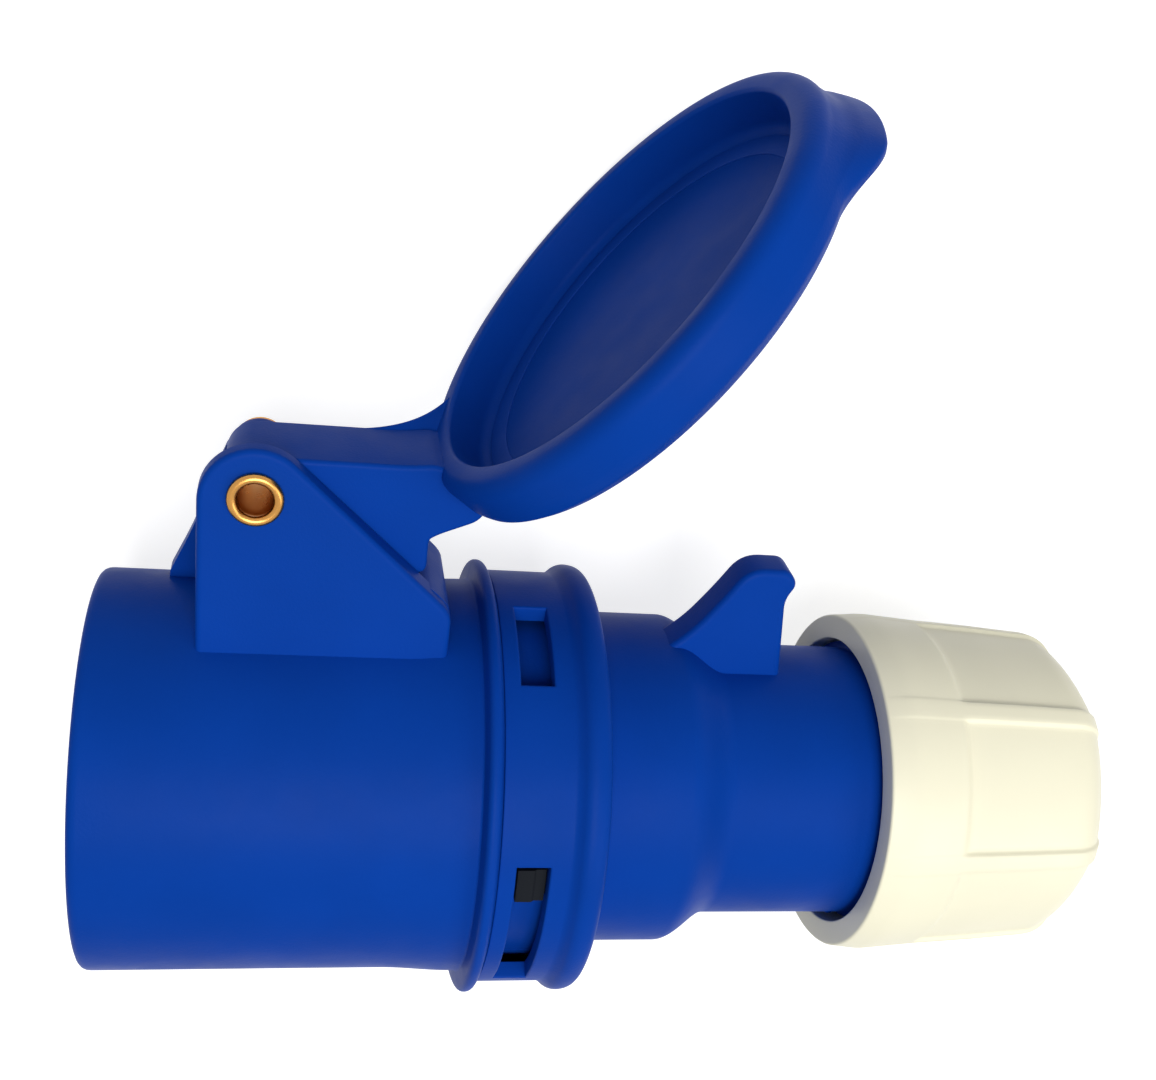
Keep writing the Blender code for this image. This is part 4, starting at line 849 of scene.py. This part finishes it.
class ConnectorSizes(bpy.types.PropertyGroup):
    """Sizes of the lid's tab and the nut's panels"""

    tab_reach: FloatProperty(
        name="Tab reach", description="How far the thumb tab stands out of the lid", unit="LENGTH",
        min=0, max=0.0045, default=0.0036)
    tab_sink: FloatProperty(
        name="Tab sink", description="How far the thumb tab bends back from the rim", unit="LENGTH",
        min=0, max=0.002, default=0.0018)
    tab_half_angle: FloatProperty(
        name="Tab half angle", description="Half of the tab's spread round the lid", unit="ROTATION",
        min=0.35, max=0.8, default=math.radians(41))
    panel_depth: FloatProperty(
        name="Panel depth", description="Depth of the nut's grip panels at their edges", unit="LENGTH",
        min=0.0001, max=0.0008, default=0.00055)


class ConnectorStage(bpy.types.PropertyGroup):
    """Light and floor"""

    floor_colour: FloatVectorProperty(
        name="Floor", description="Colour of the floor", subtype="COLOR", size=3,
        min=0, max=1, default=(0.5, 0.5, 0.5))
    key_power: FloatProperty(
        name="Key lamp", description="Power of the large lamp overhead", unit="POWER", default=4.75)
    sky: FloatProperty(name="Sky", description="Strength of the light from all round", default=0.28)


class CONNECTOR_OT_front_housing(bpy.types.Operator):
    """Builds the collar, its bead and spigot, and the hinge bracket"""

    bl_idname = "connector.front_housing"
    bl_label = "Front housing"

    def execute(self, context):
        fit(collar(), "housing", "blue_plastic", "front_housing")
        for made in (near_ear(), far_ear(), slot_floor()):
            fit(made, "housing", "blue_plastic")
        return {"FINISHED"}


class CONNECTOR_OT_rear_housing(bpy.types.Operator):
    """Builds the windowed band, handle, neck, thumb fin and thread"""

    bl_idname = "connector.rear_housing"
    bl_label = "Rear housing"

    def execute(self, context):
        fit(rear_shell(), "housing", "blue_plastic", "rear_housing")
        fit(thumb_fin(), "housing", "blue_plastic")
        fit(thread(), "housing", "blue_plastic")
        return {"FINISHED"}


class CONNECTOR_OT_lid(bpy.types.Operator):
    """Builds the lid's cap, its arm and its seal"""

    bl_idname = "connector.lid"
    bl_label = "Lid"

    def execute(self, context):
        fit(lid_cap(), "lid", "blue_plastic", "lid")
        fit(lid_arm(), "lid", "blue_plastic")
        fit(arm_flare(), "lid", "blue_plastic")
        fit(lid_seal(), "lid", "blue_rubber", "lid_seal")
        return {"FINISHED"}


class CONNECTOR_OT_small_parts(bpy.types.Operator):
    """Builds the hinge rivet and the locking slider"""

    bl_idname = "connector.small_parts"
    bl_label = "Rivet and slider"

    def execute(self, context):
        fit(rivet(), "housing", "brass", "hinge_pin")
        fit(slider(), "slider", "black_plastic", "locking_slider")
        return {"FINISHED"}


class CONNECTOR_OT_gland(bpy.types.Operator):
    """Builds the gland nut and dresses the clamp inside it"""

    bl_idname = "connector.gland"
    bl_label = "Cable gland"

    def execute(self, context):
        fit(nut(), "nut", "cream_plastic", "gland_nut")
        dressed("gland_seal", "clamp", "black_rubber")
        dressed("clamp_cage", "clamp", "cream_plastic")
        dressed("thrust_washer", "clamp", "steel")
        return {"FINISHED"}


class CONNECTOR_OT_socket(bpy.types.Operator):
    """Builds the contact carrier and dresses the contacts, screws, cover and seal"""

    bl_idname = "connector.socket"
    bl_label = "Socket"

    def execute(self, context):
        fit(insert(), "housing", "black_plastic", "contact_carrier")
        for way in ("earth", "line", "neutral"):
            dressed(way + "_contact", "housing", "brass")
            dressed(way + "_contact_spring", "housing", "steel")
            dressed(way + "_terminal_screw", "housing", "steel")
        dressed("terminal_cover", "housing", "black_plastic")
        dressed("cover_screw", "housing", "steel")
        dressed("housing_seal", "housing", "black_rubber")
        return {"FINISHED"}


class CONNECTOR_OT_stage(bpy.types.Operator):
    """Builds the floor, the lamps, the sky and the camera"""

    bl_idname = "connector.stage"
    bl_label = "Stage"

    def execute(self, context):
        make_floor()
        make_lamps()
        make_sky()
        make_camera()
        context.scene.view_settings.view_transform = "Standard"
        return {"FINISHED"}


def seen_white(tree, strength):
    """The given strength for camera, glossy and transmission rays, and none for the rest."""
    nodes, link = tree.nodes, tree.links.new
    rays = nodes.new("ShaderNodeLightPath")
    seen = nodes.new("ShaderNodeMath")
    seen.operation = "MAXIMUM"
    link(rays.outputs["Is Camera Ray"], seen.inputs[0])
    link(rays.outputs["Is Glossy Ray"], seen.inputs[1])
    through = nodes.new("ShaderNodeMath")
    through.operation = "MAXIMUM"
    link(seen.outputs[0], through.inputs[0])
    link(rays.outputs["Is Transmission Ray"], through.inputs[1])
    amount = nodes.new("ShaderNodeMath")
    amount.operation = "MULTIPLY"
    amount.inputs[1].default_value = strength
    link(through.outputs[0], amount.inputs[0])
    return amount.outputs[0]


def make_floor():
    """A wide plain floor under the part."""
    half, glow = 3.0, 0.78
    mesh = bpy.data.meshes.new("floor")
    corners = [(-half, -half, 0), (half, -half, 0), (half, half, 0), (-half, half, 0)]
    mesh.from_pydata(corners, [], [(0, 1, 2, 3)])
    floor = bpy.data.objects.new("floor", mesh)
    bpy.context.collection.objects.link(floor)
    made = bpy.data.materials.new("floor")
    made.use_nodes = True
    shader = made.node_tree.nodes["Principled BSDF"]
    colour = bpy.context.scene.connector_stage.floor_colour
    shader.inputs["Base Color"].default_value = (*colour, 1)
    shader.inputs["Roughness"].default_value = 0.9
    shader.inputs["Emission Color"].default_value = (1, 1, 1, 1)
    amount = seen_white(made.node_tree, glow)
    made.node_tree.links.new(amount, shader.inputs["Emission Strength"])
    mesh.materials.append(made)


def lamp(name, place, size, power):
    """A square lamp, place in metres from the part's middle, aimed at it."""
    light = bpy.data.lights.new(name, "AREA")
    light.shape = "SQUARE"
    light.size = size
    light.energy = power
    made = bpy.data.objects.new(name, light)
    bpy.context.collection.objects.link(made)
    aim = Vector((0, 0, 0.03))
    made.location = Vector(place)
    made.rotation_euler = (aim - Vector(place)).to_track_quat("-Z", "Y").to_euler()


def make_lamps():
    """A large lamp overhead and a weaker one beyond the cable end."""
    power, side_share = bpy.context.scene.connector_stage.key_power, 0.3
    lamp("key_lamp", (-0.02, 0.14, 0.83), 0.45, power)
    lamp("side_lamp", (0.5, -0.1, 0.65), 0.4, power * side_share)


def make_sky():
    """A white world: at full strength behind the part and in reflections, and weak as light."""
    world = bpy.data.worlds.new("sky")
    bpy.context.scene.world = world
    world.use_nodes = True
    tree = world.node_tree
    back = tree.nodes["Background"]
    back.inputs["Color"].default_value = (1, 1, 1, 1)
    sky = bpy.context.scene.connector_stage.sky
    amount = seen_white(tree, 1 - sky)
    total = tree.nodes.new("ShaderNodeMath")
    total.operation = "ADD"
    total.inputs[1].default_value = sky
    tree.links.new(amount, total.inputs[0])
    tree.links.new(total.outputs[0], back.inputs["Strength"])


def make_camera():
    """The photograph's viewpoint, turned about the upright axis, tipped down and then rolled."""
    yaw, pitch, roll = -0.22990, 0.49111, 0.15238
    place = np.array([25.08, 117.75, 162.06]) / MM_PER_METRE + ORIGIN
    photo_width, focal, lowered, sensor_width = 1156, 1395.365, 60, 36
    cy, sy = math.cos(yaw), math.sin(yaw)
    cp, sp = math.cos(pitch), math.sin(pitch)
    cr, sr = math.cos(roll), math.sin(roll)
    level = np.array([[1, 0, 0], [0, 0, -1], [0, 1, 0]])
    turned = np.array([[cy, sy, 0], [-sy, cy, 0], [0, 0, 1]])
    tipped = np.array([[1, 0, 0], [0, cp, -sp], [0, sp, cp]])
    rolled = np.array([[cr, -sr, 0], [sr, cr, 0], [0, 0, 1]])
    axes = rolled @ tipped @ level @ turned
    right, down, ahead = np.column_stack([axes[:, 0], axes[:, 2], -axes[:, 1]])
    data = bpy.data.cameras.new("camera")
    camera = bpy.data.objects.new("camera", data)
    bpy.context.collection.objects.link(camera)
    pose = Matrix.Identity(4)
    for column, values in enumerate((right, -down, -ahead, place)):
        pose.col[column][:3] = values
    camera.matrix_world = pose
    data.sensor_width = sensor_width
    data.lens = focal * sensor_width / photo_width
    data.shift_y = lowered / photo_width
    data.clip_start = 0.01
    data.clip_end = 20
    bpy.context.scene.camera = camera


OPERATORS = (
    CONNECTOR_OT_front_housing,
    CONNECTOR_OT_rear_housing,
    CONNECTOR_OT_lid,
    CONNECTOR_OT_small_parts,
    CONNECTOR_OT_gland,
    CONNECTOR_OT_socket,
    CONNECTOR_OT_stage,
)


class CONNECTOR_PT_sidebar(bpy.types.Panel):
    """Lists the connector's pieces in the sidebar"""

    bl_idname = "CONNECTOR_PT_sidebar"
    bl_label = "Industrial connector"
    bl_space_type = "VIEW_3D"
    bl_region_type = "UI"
    bl_category = "Connector"

    def draw(self, context):
        for maker in OPERATORS:
            self.layout.operator(maker.bl_idname)
        for field in ("body_blue", "nut_cream", "insert_black", "rivet_brass"):
            self.layout.prop(context.scene.connector_colours, field)
        for field in ("tab_reach", "tab_sink", "tab_half_angle", "panel_depth"):
            self.layout.prop(context.scene.connector_sizes, field)
        for field in ("floor_colour", "key_power", "sky"):
            self.layout.prop(context.scene.connector_stage, field)


CLASSES = (ConnectorColours, ConnectorSizes, ConnectorStage, *OPERATORS, CONNECTOR_PT_sidebar)


def register():
    for made in CLASSES:
        bpy.utils.register_class(made)
    bpy.types.Scene.connector_colours = PointerProperty(type=ConnectorColours)
    bpy.types.Scene.connector_sizes = PointerProperty(type=ConnectorSizes)
    bpy.types.Scene.connector_stage = PointerProperty(type=ConnectorStage)


def unregister():
    del bpy.types.Scene.connector_stage
    del bpy.types.Scene.connector_sizes
    del bpy.types.Scene.connector_colours
    for made in reversed(CLASSES):
        bpy.utils.unregister_class(made)


def main():
    """Builds every piece and the stage."""
    register()
    bpy.ops.connector.front_housing()
    bpy.ops.connector.rear_housing()
    bpy.ops.connector.lid()
    bpy.ops.connector.small_parts()
    bpy.ops.connector.gland()
    bpy.ops.connector.socket()
    bpy.ops.connector.stage()
    bpy.context.view_layer.update()


if __name__ == "__main__":
    main()
